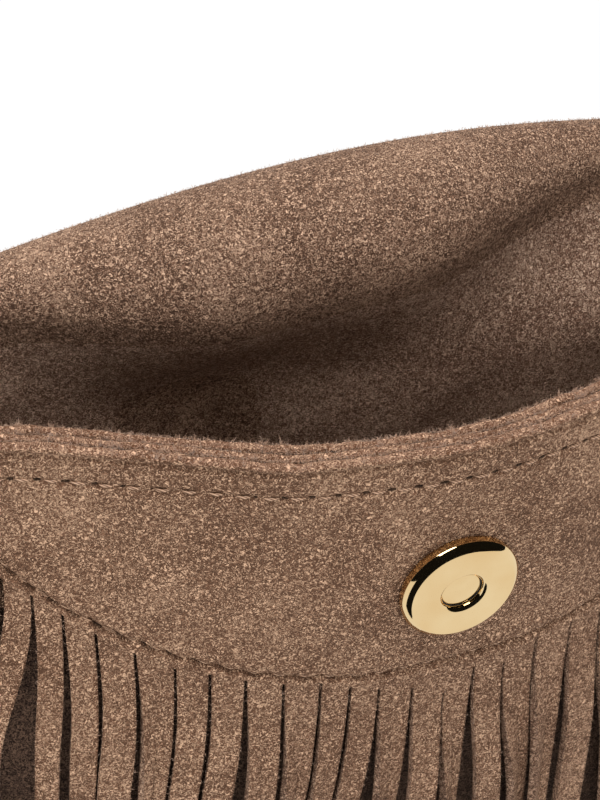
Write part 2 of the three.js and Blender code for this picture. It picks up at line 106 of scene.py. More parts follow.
def front_face(u, row):
    """The front panel's outer face, at a share of the half width and a row height."""
    z = row - CORNER_DROP * smooth((np.abs(u) - 0.7) / 0.3) * smooth((row - 0.6 * RIM) / (0.4 * RIM))
    middle = mix(-GUSSET_BASE / 2, RIM_FRONT, smooth(z / BELLY))
    opened = smooth((z - 0.3 * RIM) / (0.4 * RIM))
    vee = (np.hypot(VEE_SLOPE * MOUTH_HALF * u, VEE_ROUND) - VEE_ROUND) / VEE_SPAN
    y = middle + (-gusset_half(z) - middle) * mix(u * u, vee, opened)
    x = u * half_width(z)
    hold = (1 - u**8) * smooth(z / 30)
    y = y + hold * (ripple(x, z, 3, 60, 0.45) + ripple(x, z, 4, 22, 0.13))
    # The open mouth isn't quite even: its right side stands further forward than its left.
    set_of_rim = 1.1 * bump(x + 53, 13) - 0.8 * bump(x + 26, 6) - 2.2 * bump(x - 28, 13)
    y = y + hold * set_of_rim * smooth((z - 105) / 60)
    away = np.hypot(x, z - SNAP_Z)
    bed = 1 - smooth((away - SNAP_BED) / (SNAP_BLEND - SNAP_BED))
    return np.stack([x, mix(y, SNAP_Y, bed), z], -1)


def rows_of(inset, top, corner_rows, rows):
    turn = np.linspace(0, math.pi / 2, corner_rows + 1)
    corner = CORNER_RADIUS - (CORNER_RADIUS - inset) * np.cos(turn)
    return np.concatenate([corner, np.linspace(CORNER_RADIUS, top, rows + 1)[1:]])


def unit(vectors):
    return vectors / np.linalg.norm(vectors, axis=-1, keepdims=True)


def normals_of(points):
    return unit(np.cross(np.gradient(points, axis=0), np.gradient(points, axis=1)))


def put(name, points, faces, materials, slots, body, replaces=()):
    """Makes a mesh object in metres, smooth, with a material for each face, that rides on a body."""
    mesh = bpy.data.meshes.new(name)
    mesh.from_pydata((np.asarray(points) * MM).tolist(), [], faces)
    for material in materials:
        mesh.materials.append(material)
    mesh.polygons.foreach_set("material_index", slots)
    mesh.polygons.foreach_set("use_smooth", [True] * len(mesh.polygons))
    mesh.update()
    piece = bpy.data.objects.new(name, mesh)
    bpy.context.scene.collection.objects.link(piece)
    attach(piece, body)
    if replaces:
        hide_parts(*replaces)
    return piece


EDGE_STEPS = 4


def cut_sheet(points, outer, inner, kept=None, fuzz=0.0, seed=1, normals=None, swell=0.2):
    """A sheet of suede over a grid of points: the faces at outer and inner along the normal, and a rounded,
    slightly ragged wall wherever the hide was cut. Returns vertices, faces and a slot for each face:
    0 outer, 1 inner, 2 cut edge."""
    normals = normals_of(points) if normals is None else normals
    columns, rows = points.shape[:2]
    kept = np.ones((columns - 1, rows - 1), bool) if kept is None else kept
    outer = np.broadcast_to(outer, (columns, rows))[..., None]
    inner = np.broadcast_to(inner, (columns, rows))[..., None]
    front = points + normals * outer
    back = points + normals * inner
    vertices = [front.reshape(-1, 3), back.reshape(-1, 3)]
    count = columns * rows
    index = np.arange(count).reshape(columns, rows)
    a, b = index[:-1, :-1][kept], index[1:, :-1][kept]
    c, d = index[1:, 1:][kept], index[:-1, 1:][kept]
    faces = np.stack([a, b, c, d], 1).tolist() + (np.stack([a, d, c, b], 1) + count).tolist()
    slots = [0] * len(a) + [1] * len(a)
    padded = np.zeros((columns + 1, rows + 1), bool)
    padded[1:-1, 1:-1] = kept
    cells = padded[1:-1, 1:-1]
    sides = [
        (cells & ~padded[1:-1, :-2], index[:-1, :-1], index[1:, :-1]),
        (cells & ~padded[2:, 1:-1], index[1:, :-1], index[1:, 1:]),
        (cells & ~padded[1:-1, 2:], index[1:, 1:], index[:-1, 1:]),
        (cells & ~padded[:-2, 1:-1], index[:-1, 1:], index[:-1, :-1]),
    ]
    starts = np.concatenate([s[mask] for mask, s, _ in sides])
    ends = np.concatenate([e[mask] for mask, _, e in sides])
    flat_front, flat_back = vertices
    flat_normal = normals.reshape(-1, 3)
    outward = np.zeros((count, 3))
    away = np.cross(flat_front[ends] - flat_front[starts], flat_normal[starts])
    np.add.at(outward, starts, away)
    np.add.at(outward, ends, away)
    used = np.unique(np.concatenate([starts, ends]))
    length = np.linalg.norm(outward[used], axis=1, keepdims=True)
    outward[used] /= np.maximum(length, 1e-9)
    draw = np.random.default_rng(seed)
    slot_of = np.full(count, -1)
    slot_of[used] = np.arange(len(used))
    base = 2 * count
    thick = np.abs(outer - inner).reshape(-1, 1)[used]
    bulge = thick * np.broadcast_to(swell, (columns, rows)).reshape(-1, 1)[used]
    for step in range(1, EDGE_STEPS):
        t = step / EDGE_STEPS
        ring = mix(flat_front[used], flat_back[used], t)
        ragged = bulge * math.sin(math.pi * t) + fuzz * draw.uniform(-1, 1, (len(used), 1))
        vertices.append(ring + outward[used] * ragged)

    def rung(step, which):
        if step == 0:
            return which
        if step == EDGE_STEPS:
            return which + count
        return base + (step - 1) * len(used) + slot_of[which]

    for step in range(EDGE_STEPS):
        near, far = [rung(step, starts), rung(step, ends)], [rung(step + 1, starts), rung(step + 1, ends)]
        wall = np.stack([near[0], far[0], far[1], near[1]], 1)
        faces += wall.tolist()
        slots += [2] * len(wall)
    return np.concatenate(vertices), faces, slots


def linear(code):
    """An sRGB hex colour as the linear colour that shaders take."""
    parts = [int(code[i : i + 2], 16) / 255 for i in (1, 3, 5)]
    return [*(p / 12.92 if p <= 0.04045 else ((p + 0.055) / 1.055) ** 2.4 for p in parts), 1.0]


def node(tree, kind, settings=None, inputs=None, stops=()):
    """Adds one node with its settings, its inputs as values or as the sockets that feed them, and a colour
    ramp's stops as places and hex colours."""
    made = tree.nodes.new("ShaderNode" + kind)
    for key, value in (settings or {}).items():
        setattr(made, key, value)
    for key, value in (inputs or {}).items():
        if isinstance(value, bpy.types.NodeSocket):
            tree.links.new(value, made.inputs[key])
        else:
            made.inputs[key].default_value = value
    for _ in stops[2:]:
        made.color_ramp.elements.new(0.5)
    for k, (place, code) in enumerate(stops):
        made.color_ramp.elements[k].position = place
        made.color_ramp.elements[k].color = linear(code)
    return made


def new_material(name):
    material = bpy.data.materials.new(name)
    material.use_nodes = True
    material.node_tree.nodes.clear()
    return material, material.node_tree


def in_millimetres(tree):
    """The bag's own coordinates in mm, because every pattern's scale is worked out from a real size."""
    place = node(tree, "TexCoord").outputs["Object"]
    return node(tree, "VectorMath", {"operation": "SCALE"}, {0: place, "Scale": 1 / MM}).outputs[0]


def finished(material, shader):
    node(material.node_tree, "OutputMaterial", {}, {"Surface": shader.outputs[0]})
    return material


# The nap: fibre bundles about 0.4 mm across, which lie in curls, over small tufts and over patches of
# 10 to 20 mm where a hand has brushed the nap one way or the other.
NAP_MM = 0.42
TUFT_MM = 2.2
PATCH_MM = 15.0
NAP_DEPTH_MM = 0.34


def suede_material(name, pits, middle, tips, relief=1.0):
    """Buffed suede: no gloss at all, a soft sheen from the fibre tips, and colour that follows the nap."""
    material, tree = new_material(name)
    in_mm = in_millimetres(tree)
    total = 0.0
    spread = []
    # Size in mm, share of the colour, darkest level of the noise, and its detail, roughness and curl.
    for size, share, low, detail, rough, curl in ((PATCH_MM, 0.2, 0.32, 3.0, 0.6, 0.6),
                                                  (TUFT_MM, 0.08, 0.3, 2.0, 0.6, 0.8),
                                                  (NAP_MM, 0.72, 0.37, 2.0, 0.55, 1.6)):
        noise = node(tree, "TexNoise", {}, {"Vector": in_mm, "Scale": 1 / size, "Detail": detail,
                                            "Roughness": rough, "Distortion": curl})
        value = node(tree, "MapRange", {}, {"Value": noise.outputs["Fac"], "From Min": low,
                                            "From Max": 1 - low}).outputs[0]
        total = node(tree, "Math", {"operation": "MULTIPLY_ADD"}, {0: value, 1: share, 2: total}).outputs[0]
        spread.append(value)
    colour = node(tree, "ValToRGB", {}, {"Fac": total},
                  [(0.2, pits), (0.48, middle), (0.8, tips)]).outputs["Color"]
    height = node(tree, "Math", {"operation": "MULTIPLY_ADD"},
                  {0: spread[1], 1: 0.5, 2: spread[2]}).outputs[0]
    bumps = node(tree, "Bump", {}, {"Strength": relief, "Distance": NAP_DEPTH_MM * MM, "Height": height})
    return finished(material, node(tree, "BsdfPrincipled", {}, {
        "Base Color": colour, "Roughness": 0.85, "Specular IOR Level": 0.2, "Sheen Weight": 0.12,
        "Sheen Roughness": 0.4, "Sheen Tint": linear("#e2b48e"), "Normal": bumps.outputs["Normal"]}))


body_suede = suede_material("buffed_taupe_suede", "#5f4230", "#8f674e", "#dab292")
inner_suede = suede_material("inside_taupe_suede", "#4f382b", "#87634e", "#d2ad91")
# A raw cut shows the hide's pale middle, where the dye went in less, and its fibres stand out loosely.
cut_suede = suede_material("raw_cut_suede", "#68452f", "#98705a", "#d3aa8c")

FRONT_COLUMNS = 180
FRONT_ROWS = 110
SHEET_MATERIALS = [body_suede, inner_suede, cut_suede]
FOOT = 0.45
EDGE_FUZZ = 0.11
RIM_SWELL = 0.34
SHADE_INSET, SHADE_LOW, SHADE_DROP = 15, 18, 30

u_grid = np.linspace(-1, 1, FRONT_COLUMNS + 1)[:, None]
row_grid = rows_of(FOOT, RIM, 24, FRONT_ROWS)[None, :]
panel_points = front_face(u_grid, row_grid)
panel_points[:, -1, 2] += ripple(panel_points[:, -1, 0], 0, 21, 5, 0.12)
vertices, faces, slots = cut_sheet(panel_points, 0, -SUEDE, fuzz=EDGE_FUZZ, seed=2, swell=RIM_SWELL)
# Painted shade: under the fringe, where it keeps the light off the panel, the panel's face takes a darker
# copy of the suede.
middle = vertices[np.array(faces)].mean(1)
fringe_shade_faces = (np.abs(middle[:, 0]) < MOUTH_HALF - SHADE_INSET) & (np.array(slots) == 0)
fringe_shade_faces = fringe_shade_faces & (middle[:, 2] > SHADE_LOW) & (middle[:, 2] < RIM - SHADE_DROP)
slots = np.where(fringe_shade_faces, 3, slots).tolist()
# Painted shade: the darker copy of the suede for the panel's face under the fringe.
fringe_shade_suede = suede_material("painted_fringe_shade_suede", "#271a13", "#46332a", "#7d6250", relief=0.7)
put("front_panel_suede", vertices, faces, SHEET_MATERIALS + [fringe_shade_suede], slots, "bag",
    ["front_panel"])

# Front facing: a band of the same suede inside the front, from the rim to below the yoke's seam. It
# hides the snap's washer and makes the mouth's third raw edge.
FACING_DEPTH = 50.0
FACING_INSET = 2.0
WASHER_SWELL = 1.7
WASHER_FADE = 15.0


def over_washer(points, height):
    """How far the suede is pushed out over a snap's washer whose centre is at a height."""
    away = np.hypot(points[..., 0], points[..., 2] - height)
    return WASHER_SWELL * (1 - smooth((away - SNAP_RADIUS - 3) / WASHER_FADE))


facing_rows = np.linspace(RIM - FACING_DEPTH, RIM, 51)[None, :]
share = (half_width(facing_rows) - FACING_INSET) / half_width(facing_rows)
facing_points = front_face(u_grid * share, facing_rows)
facing_outer = -SUEDE - CLOSED_GAP - over_washer(facing_points, SNAP_Z)
facing_points[:, -1, 2] += ripple(facing_points[:, -1, 0], 0, 31, 7, 0.22) + 0.15
vertices, faces, slots = cut_sheet(facing_points, facing_outer, facing_outer - SUEDE, fuzz=EDGE_FUZZ, seed=3,
                                   swell=RIM_SWELL)
put("front_facing_suede", vertices, faces, SHEET_MATERIALS, slots, "bag", ["front_facing"])

# Gusset strip: one long strip down a side, under the bag and up the other side. Its raw edges butt
# against the insides of the two panels and are sewn to them.
GUSSET_DROP = 17.5
GUSSET_END = RIM - GUSSET_DROP
SEAM_GAP = 0.1

gusset_rows = rows_of(0, GUSSET_END, 24, 60)[::-1]
side_x = np.concatenate([half_width(gusset_rows), -half_width(gusset_rows[::-1])])
side_z = np.concatenate([gusset_rows, gusset_rows[::-1]])
across = np.linspace(-1, 1, 31)[None, :]
reach = (gusset_half(side_z) - SUEDE - SEAM_GAP)[:, None]
gusset_points = np.stack([side_x[:, None] + 0 * across, across * reach, side_z[:, None] + 0 * across], -1)
pinch = 0.9 * (1 - across**2) * smooth((side_z[:, None] - 40) / 60)
gusset_points[..., 0] -= np.sign(side_x)[:, None] * pinch
vertices, faces, slots = cut_sheet(gusset_points, 0, -SUEDE, fuzz=EDGE_FUZZ, seed=4)
put("gusset_suede", vertices, faces, SHEET_MATERIALS, slots, "bag", ["gusset_strip"])

# Back panel with flap: one long piece of suede. It rises up the back, folds over and hangs down behind,
# because the flap has been thrown open. Its smooth buffed side faces out, so the fold shows the lining.
FOLD_DROP = 4.5
FOLD_EDGE_DROP = 13.0
FOLD_RADIUS = 6.5
FLAP_HANG = 86.0
FLAP_END_HALF = 80.0
FLAP_END_FLAT = 14.0
FLAP_ROUND = 56.0
BACK_BOW = 3.0
LINING_INSET = 2.0
BACK_COLUMNS = 150
CREST_X, CREST_HEIGHT = 14.0, 183.2
# The crest line is the roll's outline as seen from 39 degrees above: that angle's sine and cosine.
CREST_REACH, CREST_SINE, CREST_COSINE = 12.06, 0.635, 0.773
ROLL_THIN, ROLL_FAT = 5.0, 7.2
ROLL_UNDER = 0.26
STUD_DROP = 55.0


def fold_height(x):
    return RIM - FOLD_DROP - FOLD_EDGE_DROP * (x / MOUTH_HALF) ** 2


def back_y(x, z):
    bow = np.clip(1 - (x / MOUTH_HALF) ** 2, 0, None) * smooth(z / RIM)
    return gusset_half(z) + BACK_BOW * bow


def flap_y(x):
    return back_y(x, fold_height(x)) + 2 * FOLD_RADIUS


def at_side(x):
    return smooth((np.abs(x) - 52) / 28)


def roll_radius(x):
    """The fold is a loose roll: fat behind the left of the snap and tight towards the sides."""
    fat = (1 - smooth((x - 8) / 46)) * (1 - smooth((-x - 14) / 44))
    loose = ROLL_THIN + ROLL_FAT * fat - PLY_STEP - SUEDE
    return mix(loose, FOLD_RADIUS, at_side(x))


def roll_centre(x):
    """Height of the roll's centre line: the roll sags to the left of where it is highest."""
    crest = CREST_HEIGHT - np.where(x < CREST_X, 0.0018, 0.0024) * (x - CREST_X) ** 2
    outer_radius = roll_radius(x) + PLY_STEP + SUEDE
    back = CREST_SINE * (flap_y(x) - roll_radius(x))
    loose = crest + (CREST_REACH - outer_radius - back) / CREST_COSINE
    return mix(loose, fold_height(x), at_side(x))


def wall_y(x, z):
    """The back wall where it sags behind the open mouth: pushed forward at the right below the roll, and
    falling away into the dark at the left."""
    inside = (1 - at_side(x)) * smooth(z / 60)
    right = smooth((x + 25) / 50)
    pushed = -5.0 * bump(z - 128, 18) * right
    hollow = 6.5 * bump(z - 148, 24) * (1 - right)
    return back_y(x, z) + inside * (pushed + hollow + ripple(x, z, 8, 45, 0.5) + ripple(x, z, 9, 16, 0.12))


def flap_half(drop, inset):
    straight = FLAP_HANG - FLAP_ROUND
    past = np.clip((drop - straight) / (FLAP_ROUND - inset), 0, 1)
    curved = FLAP_END_FLAT + (FLAP_END_HALF - FLAP_END_FLAT - inset) * np.sqrt(1 - past**2)
    tapered = mix(MOUTH_HALF, FLAP_END_HALF, smooth(drop / straight)) - inset
    return np.where(drop <= straight, tapered, curved)


WALL_SHARE = 0.8
CREASE_RISE = 27.0


def back_face(u, v, inset):
    """The outer face of back and flap: v runs up the back to 1, round the roll to 2, down the flap to 3."""
    fold_x = u * (MOUTH_HALF - inset)
    radius, centre_z = roll_radius(fold_x), roll_centre(fold_x)
    centre_y = flap_y(fold_x) - radius
    under = ROLL_UNDER * (1 - at_side(fold_x))
    # The wall, then a soft S that carries it back and up into the underside of the roll.
    bend_z = centre_z - CREASE_RISE
    start_z = mix(inset, bend_z, np.clip(v / WALL_SHARE, 0, 1))
    t = np.clip((v - WALL_SHARE) / (1 - WALL_SHARE), 0, 1)
    foot_y = wall_y(fold_x, bend_z)
    foot_slope = wall_y(fold_x, bend_z + 0.5) - wall_y(fold_x, bend_z - 0.5)
    end_y, end_z = centre_y - radius * np.cos(under), centre_z - radius * np.sin(under)
    reach = np.hypot(end_y - foot_y, end_z - bend_z)
    h_start, h_rise = 2 * t**3 - 3 * t**2 + 1, t**3 - 2 * t**2 + t
    h_end, h_fall = 3 * t**2 - 2 * t**3, t**3 - t**2
    bent_y = h_start * foot_y + h_rise * reach * foot_slope + h_end * end_y - h_fall * reach * np.sin(under)
    bent_z = h_start * bend_z + h_rise * reach + h_end * end_z + h_fall * reach * np.cos(under)
    wall_z = np.where(v <= WALL_SHARE, start_z, bent_z)
    wall_x = u * mix(half_width(wall_z, inset), MOUTH_HALF - inset, smooth((wall_z - 140) / 18))
    wall = [wall_x, np.where(v <= WALL_SHARE, wall_y(wall_x, wall_z), bent_y), wall_z]
    turn = mix(-under, math.pi, v - 1)
    loose = 1 + ripple(fold_x, 9 * turn, 11, 40, 0.03) * np.sin(np.clip(turn, 0, math.pi))
    reach = radius * loose
    bend = [fold_x + 0 * v, centre_y - reach * np.cos(turn), centre_z + reach * np.sin(turn)]
    drop = (v - 2) * (FLAP_HANG - inset)
    flap_x = u * flap_half(drop, inset)
    flap_z = roll_centre(flap_x) - drop
    sway = smooth(drop / 20)
    flap = [flap_x, flap_y(flap_x) + sway * ripple(flap_x, flap_z, 12, 55, 0.7), flap_z]
    pick = [np.where(v <= 1, w, np.where(v <= 2, b, f)) for w, b, f in zip(wall, bend, flap)]
    return np.stack(pick, -1)


def back_rows(inset):
    low = (rows_of(inset + FOOT, RIM, 20, 60) - inset) / (RIM - inset) * WALL_SHARE
    hang = FLAP_HANG - inset
    end = (FLAP_HANG - FLAP_ROUND) / hang
    round_end = mix(end, 1, np.sin(np.linspace(0, math.pi / 2, 41)[1:]))
    return np.concatenate([low, np.linspace(WALL_SHARE, 1, 31)[1:], np.linspace(1, 2, 61)[1:],
                           2 + np.linspace(0, end, 21)[1:], 2 + round_end])


back_u = np.linspace(1, -1, BACK_COLUMNS + 1)[:, None]
STUD_Z = float(fold_height(0)) - STUD_DROP
back_points = back_face(back_u, back_rows(0)[None, :], 0)
stud_swell = over_washer(back_points, STUD_Z) * (back_rows(0) >= 2)[None, :]
vertices, faces, slots = cut_sheet(back_points, stud_swell, stud_swell - SUEDE, fuzz=EDGE_FUZZ, seed=5)
put("back_and_flap_suede", vertices, faces, SHEET_MATERIALS, slots, "bag",
    ["back_panel_with_flap"])

# Back and flap lining: a second suede against the first, nap side to the inside of the bag. On the open
# flap it is the face that shows: it makes the long soft roll at the back of the mouth.
lining_points = back_face(back_u, back_rows(LINING_INSET)[None, :], LINING_INSET)
vertices, faces, slots = cut_sheet(lining_points, -PLY_STEP, -PLY_STEP - SUEDE, fuzz=EDGE_FUZZ, seed=6)
# Painted light: down in the bag, below the crease under the roll, the lining's inside face takes a lighter
# copy of the suede, standing in for the light that reaches the wall there.
middle = vertices[np.array(faces)].mean(1)
CREASE_DROP = 6.0
roll_x = np.clip(middle[:, 0], -MOUTH_HALF, MOUTH_HALF)
under_roll = middle[:, 2] < roll_centre(roll_x) - CREASE_DROP
in_bag = middle[:, 1] < flap_y(roll_x) - roll_radius(roll_x)
slots = np.where(under_roll & in_bag & (np.array(slots) == 1), 3, slots).tolist()
# Painted light: a lighter copy of the lining suede for the wall below the roll.
lit_wall_suede = suede_material("painted_light_wall_suede", "#664a3b", "#9f7862", "#e6c5ab")
put("lining_suede", vertices, faces, SHEET_MATERIALS + [lit_wall_suede], slots, "bag",
    ["back_and_flap_lining"])

# Yoke and fringe: one piece of suede laid over the front panel. Its top is left whole, and below a
# U-shaped row of stitches it is slit into thirty strands that hang free, each 5 mm wide.
OVERLAY_HALF = MOUTH_HALF - 12
YOKE_HALF = OVERLAY_HALF - 5
YOKE_DEPTH = 42.5
YOKE_POWER = 2.4
UNCUT_BAND = 3.0
STRANDS = 30
STRAND_COLUMNS = 12
SLIT = 0.4
SLIT_OPEN = 0.22
SLIT_FUZZ = 0.05
FRINGE_END = 8.0
YOKE_ROWS = 150
FRINGE_ROWS = 70
yoke_draw = np.random.default_rng(17)


def seam_height(x):
    t = np.clip(np.abs(x) / YOKE_HALF, 0, 1)
    return RIM - YOKE_DEPTH * np.sqrt(1 - t**YOKE_POWER)


def slit_top(x):
    t = np.clip(np.abs(x) / OVERLAY_HALF, 0, 1)
    return RIM - (YOKE_DEPTH + UNCUT_BAND) * np.sqrt(1 - t**YOKE_POWER)


fine_x = np.linspace(-OVERLAY_HALF + 1.5, OVERLAY_HALF - 1.5, 801)
fine_step = np.diff(fine_x)
rise = np.minimum(np.abs(np.diff(seam_height(fine_x))), fine_step)
run = np.concatenate([[0], np.cumsum(np.hypot(fine_step, rise))])
slits = np.interp(np.linspace(0, run[-1], STRANDS + 1), run, fine_x)
# The slits were cut by hand: they wander from the even spacing, most on the left.
wander = np.interp(slits, [-72, -63, -51, -42, -32, -21, -16, -11, 0, 5, 11, 16, 21, 27, 72],
                   [0, 1.4, 1.6, 2.7, 2.2, 2.2, 1.3, 0.4, 0.2, -0.7, -1.1, -1.3, -0.6, -0.3, 0])
slits += wander + np.interp(slits, [-72, -66, -20, 0, 72], [0, 0.6, 0.4, 0, 0])
slit_start = slit_top(slits) + yoke_draw.uniform(-0.9, 0.9, STRANDS + 1)
slit_start[2:21] = slit_top(slits[2:21]) + [4, 4.2, 3.6, 2.9, 2, 1.3, 1.9, 1.9, 1.8, 2.1, 1, -0.4, -1.5,
                                            -4.5, 0, -1.5, 2, 1.5, 0]

# How the strands hang: their lean in degrees along the front, and how far each turns about its own length.
lean_at = [-72, -59.5, -55.7, -51.6, -46.8, -41, -32, -27, -17, -8, -2.6, 2.4, 7, 12, 17.7, 23.5, 29, 72]
lean_by = [-20, -18, -3.6, -2.9, -5, -3.6, -5, -4.3, -4.6, -2.6, -1, 1.2, 3, 3.2, 1.2, 1.5, 7, 9]
strand_x = (slits[:-1] + slits[1:]) / 2
strand_lean = np.interp(strand_x, lean_at, lean_by) + yoke_draw.uniform(-0.15, 0.15, STRANDS)
strand_turn = yoke_draw.normal(0, 9, STRANDS)
for k, degrees in ((3, -6), (6, 26), (10, 24), (15, 38), (17, 34), (18, 30), (20, 14), (22, 20)):
    strand_turn[k] = degrees
strand_forward = yoke_draw.uniform(0.0, 0.7, STRANDS)
for k, distance in ((5, 1.3), (9, 1.4), (14, 2.2), (16, 2.0), (19, 1.5)):
    strand_forward[k] = distance
strand_wave = yoke_draw.uniform(0, 2 * math.pi, STRANDS)
strand_end = yoke_draw.uniform(-1.2, 1.2, STRANDS)

over_strand = np.linspace(0, 1, STRAND_COLUMNS + 1)
left, right = slits[:-1, None] + SLIT / 2, slits[1:, None] - SLIT / 2
column_x = mix(left, right, over_strand).ravel()
column_offset = ((over_strand - 0.5) * (right - left)).reshape(-1, 1)
column_strand = np.repeat(np.arange(STRANDS), STRAND_COLUMNS + 1)
column_top = np.interp(column_x, slits, slit_start)[:, None]

down = np.linspace(0, 1, FRINGE_ROWS + 1)[None, :] ** 1.15
up = np.linspace(0, 1, YOKE_ROWS + 1)[None, :]


def front_at(x, row):
    z_half = half_width(row)
    point = front_face(np.clip(x / z_half, -1, 1), row)
    point[..., 0] = np.broadcast_to(x, point.shape[:-1])
    return point


yoke_row = mix(column_top, RIM, up)
yoke_points = front_at(column_x[:, None], yoke_row)
fringe_row = mix(column_top, FRINGE_END + strand_end[column_strand][:, None], down)
behind = front_at(column_x[:, None], fringe_row)
fringe_points = behind.copy()
fringe_points[..., 1] = np.minimum.accumulate(behind[..., 1], axis=1)
fallen = column_top - fringe_row
lean = np.tan(np.radians(strand_lean))[column_strand][:, None]
turn = np.radians(strand_turn)[column_strand][:, None] * smooth(fallen / 35)
sag = fallen * smooth(fallen / 28)
limit = 9.0
side = limit * np.tanh(lean * sag / limit)
wave = 0.3 * np.sin(fallen / 17 + strand_wave[column_strand][:, None]) * smooth(fallen / 25)
forward = 0.7 + strand_forward[column_strand][:, None]
opened = SLIT_OPEN / 2 * smooth(fallen / 14) * np.tile(2 * over_strand - 1, STRANDS)[:, None]
fringe_points[..., 0] += side + wave + column_offset * (np.cos(turn) - 1) - opened
fringe_points[..., 1] -= forward * smooth(fallen / 22) + np.abs(column_offset * np.sin(turn))
fringe_points[..., 1] += column_offset * np.sin(turn)
rim_line = ripple(column_x, 0, 41, 6, 0.18)
yoke_points[:, -1, 2] += rim_line
points = np.concatenate([fringe_points[:, ::-1], yoke_points[:, 1:]], 1)

# The two rows of stitches pull the suede down into shallow grooves, deepest at each needle hole.
STITCH = 3.7
TOP_ROW_DROP = 5.8
x_flat = points[..., 0]
z_flat = points[..., 2]
seam_run = np.interp(x_flat, fine_x, run)
seam_slope = np.gradient(seam_height(fine_x), fine_x)
steep = np.sqrt(1 + np.interp(x_flat, fine_x, seam_slope) ** 2)
from_seam = (z_flat - seam_height(x_flat)) / steep
from_top_row = z_flat - (RIM - TOP_ROW_DROP) - (front_at(x_flat, RIM + 0 * x_flat)[..., 2] - RIM)
on_yoke = np.zeros(points.shape[:2], bool)
on_yoke[:, FRINGE_ROWS:] = True
from_seam = from_seam + 0.24 * np.sin(2 * math.pi * seam_run / STITCH + 1)
from_seam = from_seam + ripple(x_flat, z_flat, 44, 5, 0.12)
groove = 0.95 * bump(from_seam, 0.3) * (1 + 0.4 * np.cos(2 * math.pi * seam_run / STITCH))
groove = groove + 0.36 * bump(from_top_row, 0.36) * (1 + 0.5 * np.cos(2 * math.pi * x_flat / STITCH))
puff = 0.2 * bump(from_seam - 1.7, 1.0) + 0.2 * bump(from_seam + 1.6, 0.9)
from_rim = z_flat - front_at(x_flat, RIM + 0 * x_flat)[..., 2]
lip = 0.3 * bump(from_rim + 0.2, 0.4) - 0.34 * bump(from_rim + 1.25, 0.3)
groove = np.where(on_yoke, groove - puff - lip, 0)

normals = normals_of(points)
# Across a slit the two neighbouring strands don't share a surface, so each strand takes its own normals.
for k in range(STRANDS):
    own = slice(k * (STRAND_COLUMNS + 1), (k + 1) * (STRAND_COLUMNS + 1))
    normals[own, :FRINGE_ROWS] = normals_of(points[own])[:, :FRINGE_ROWS]
cells = np.ones((points.shape[0] - 1, points.shape[1] - 1), bool)
cells[STRAND_COLUMNS :: STRAND_COLUMNS + 1, :FRINGE_ROWS] = False
outer = CLOSED_GAP + SUEDE - groove
at_rim = np.zeros(points.shape[:2])
at_rim[:, -1] = RIM_SWELL
inner = CLOSED_GAP - np.maximum(groove, 0) * 0.2
vertices, faces, slots = cut_sheet(points, outer, inner, cells, SLIT_FUZZ, 7, normals, at_rim)
# Only the rim shows its pale cut; the slits were cut through from the face and keep its colour.
below = RIM - CORNER_DROP - 3
slots = [1 if slot == 2 and vertices[face[0]][2] < below else slot for face, slot in zip(faces, slots)]
put("yoke_and_fringe_suede", vertices, faces, SHEET_MATERIALS, slots, "bag",
    ["yoke_with_fringe"])

# Thread: bonded polyester in the suede's own taupe, just under 0.5 mm thick, locked down by the machine
# so that each stitch is a short arch between two needle holes.
THREAD = 0.46
THREAD_SIDES = 8
ARCH_STEPS = 8


def thread_material():
    """Twisted polyester: a faint gloss, and the twist as fine slanting lines."""
    material, tree = new_material("bonded_polyester_thread")
    in_mm = in_millimetres(tree)
    twist = node(tree, "TexWave", {"bands_direction": "DIAGONAL"},
                 {"Vector": in_mm, "Scale": 1.1, "Distortion": 0.6})
    colour = node(tree, "ValToRGB", {}, {"Fac": twist.outputs["Fac"]},
                  [(0.1, "#77573f"), (0.9, "#c8a387")]).outputs["Color"]
    relief = node(tree, "Bump", {}, {"Strength": 0.6, "Distance": 0.08 * MM, "Height": twist.outputs["Fac"]})
    return finished(material, node(tree, "BsdfPrincipled", {}, {
        "Base Color": colour, "Roughness": 0.45, "Specular IOR Level": 0.4,
        "Normal": relief.outputs["Normal"]}))


thread = thread_material()
# Painted shade: a dark suede for the beads that stand for the shade in each needle hole.
needle_shade_suede = suede_material("painted_needle_hole_shade", "#291c14", "#402d21", "#5c4433")
PIT_HALF = 0.27


def round_of(count):
    return np.linspace(0, 2 * math.pi, count, endpoint=False)


def tube(rings, sides, base=0, closed=False, flip=False):
    """Faces of a tube over rings of vertices: capped at both ends, or closed into a ring."""
    cells = []
    for j in range(rings if closed else rings - 1):
        ring, above = base + j * sides, base + (j + 1) % rings * sides
        for a in range(sides):
            b = (a + 1) % sides
            cells.append([ring + a, ring + b, above + b, above + a])
    if not closed:
        cells.append([base + a for a in reversed(range(sides))])
        cells.append([base + (rings - 1) * sides + a for a in range(sides)])
    return [[cell[0], *cell[:0:-1]] for cell in cells] if flip else cells


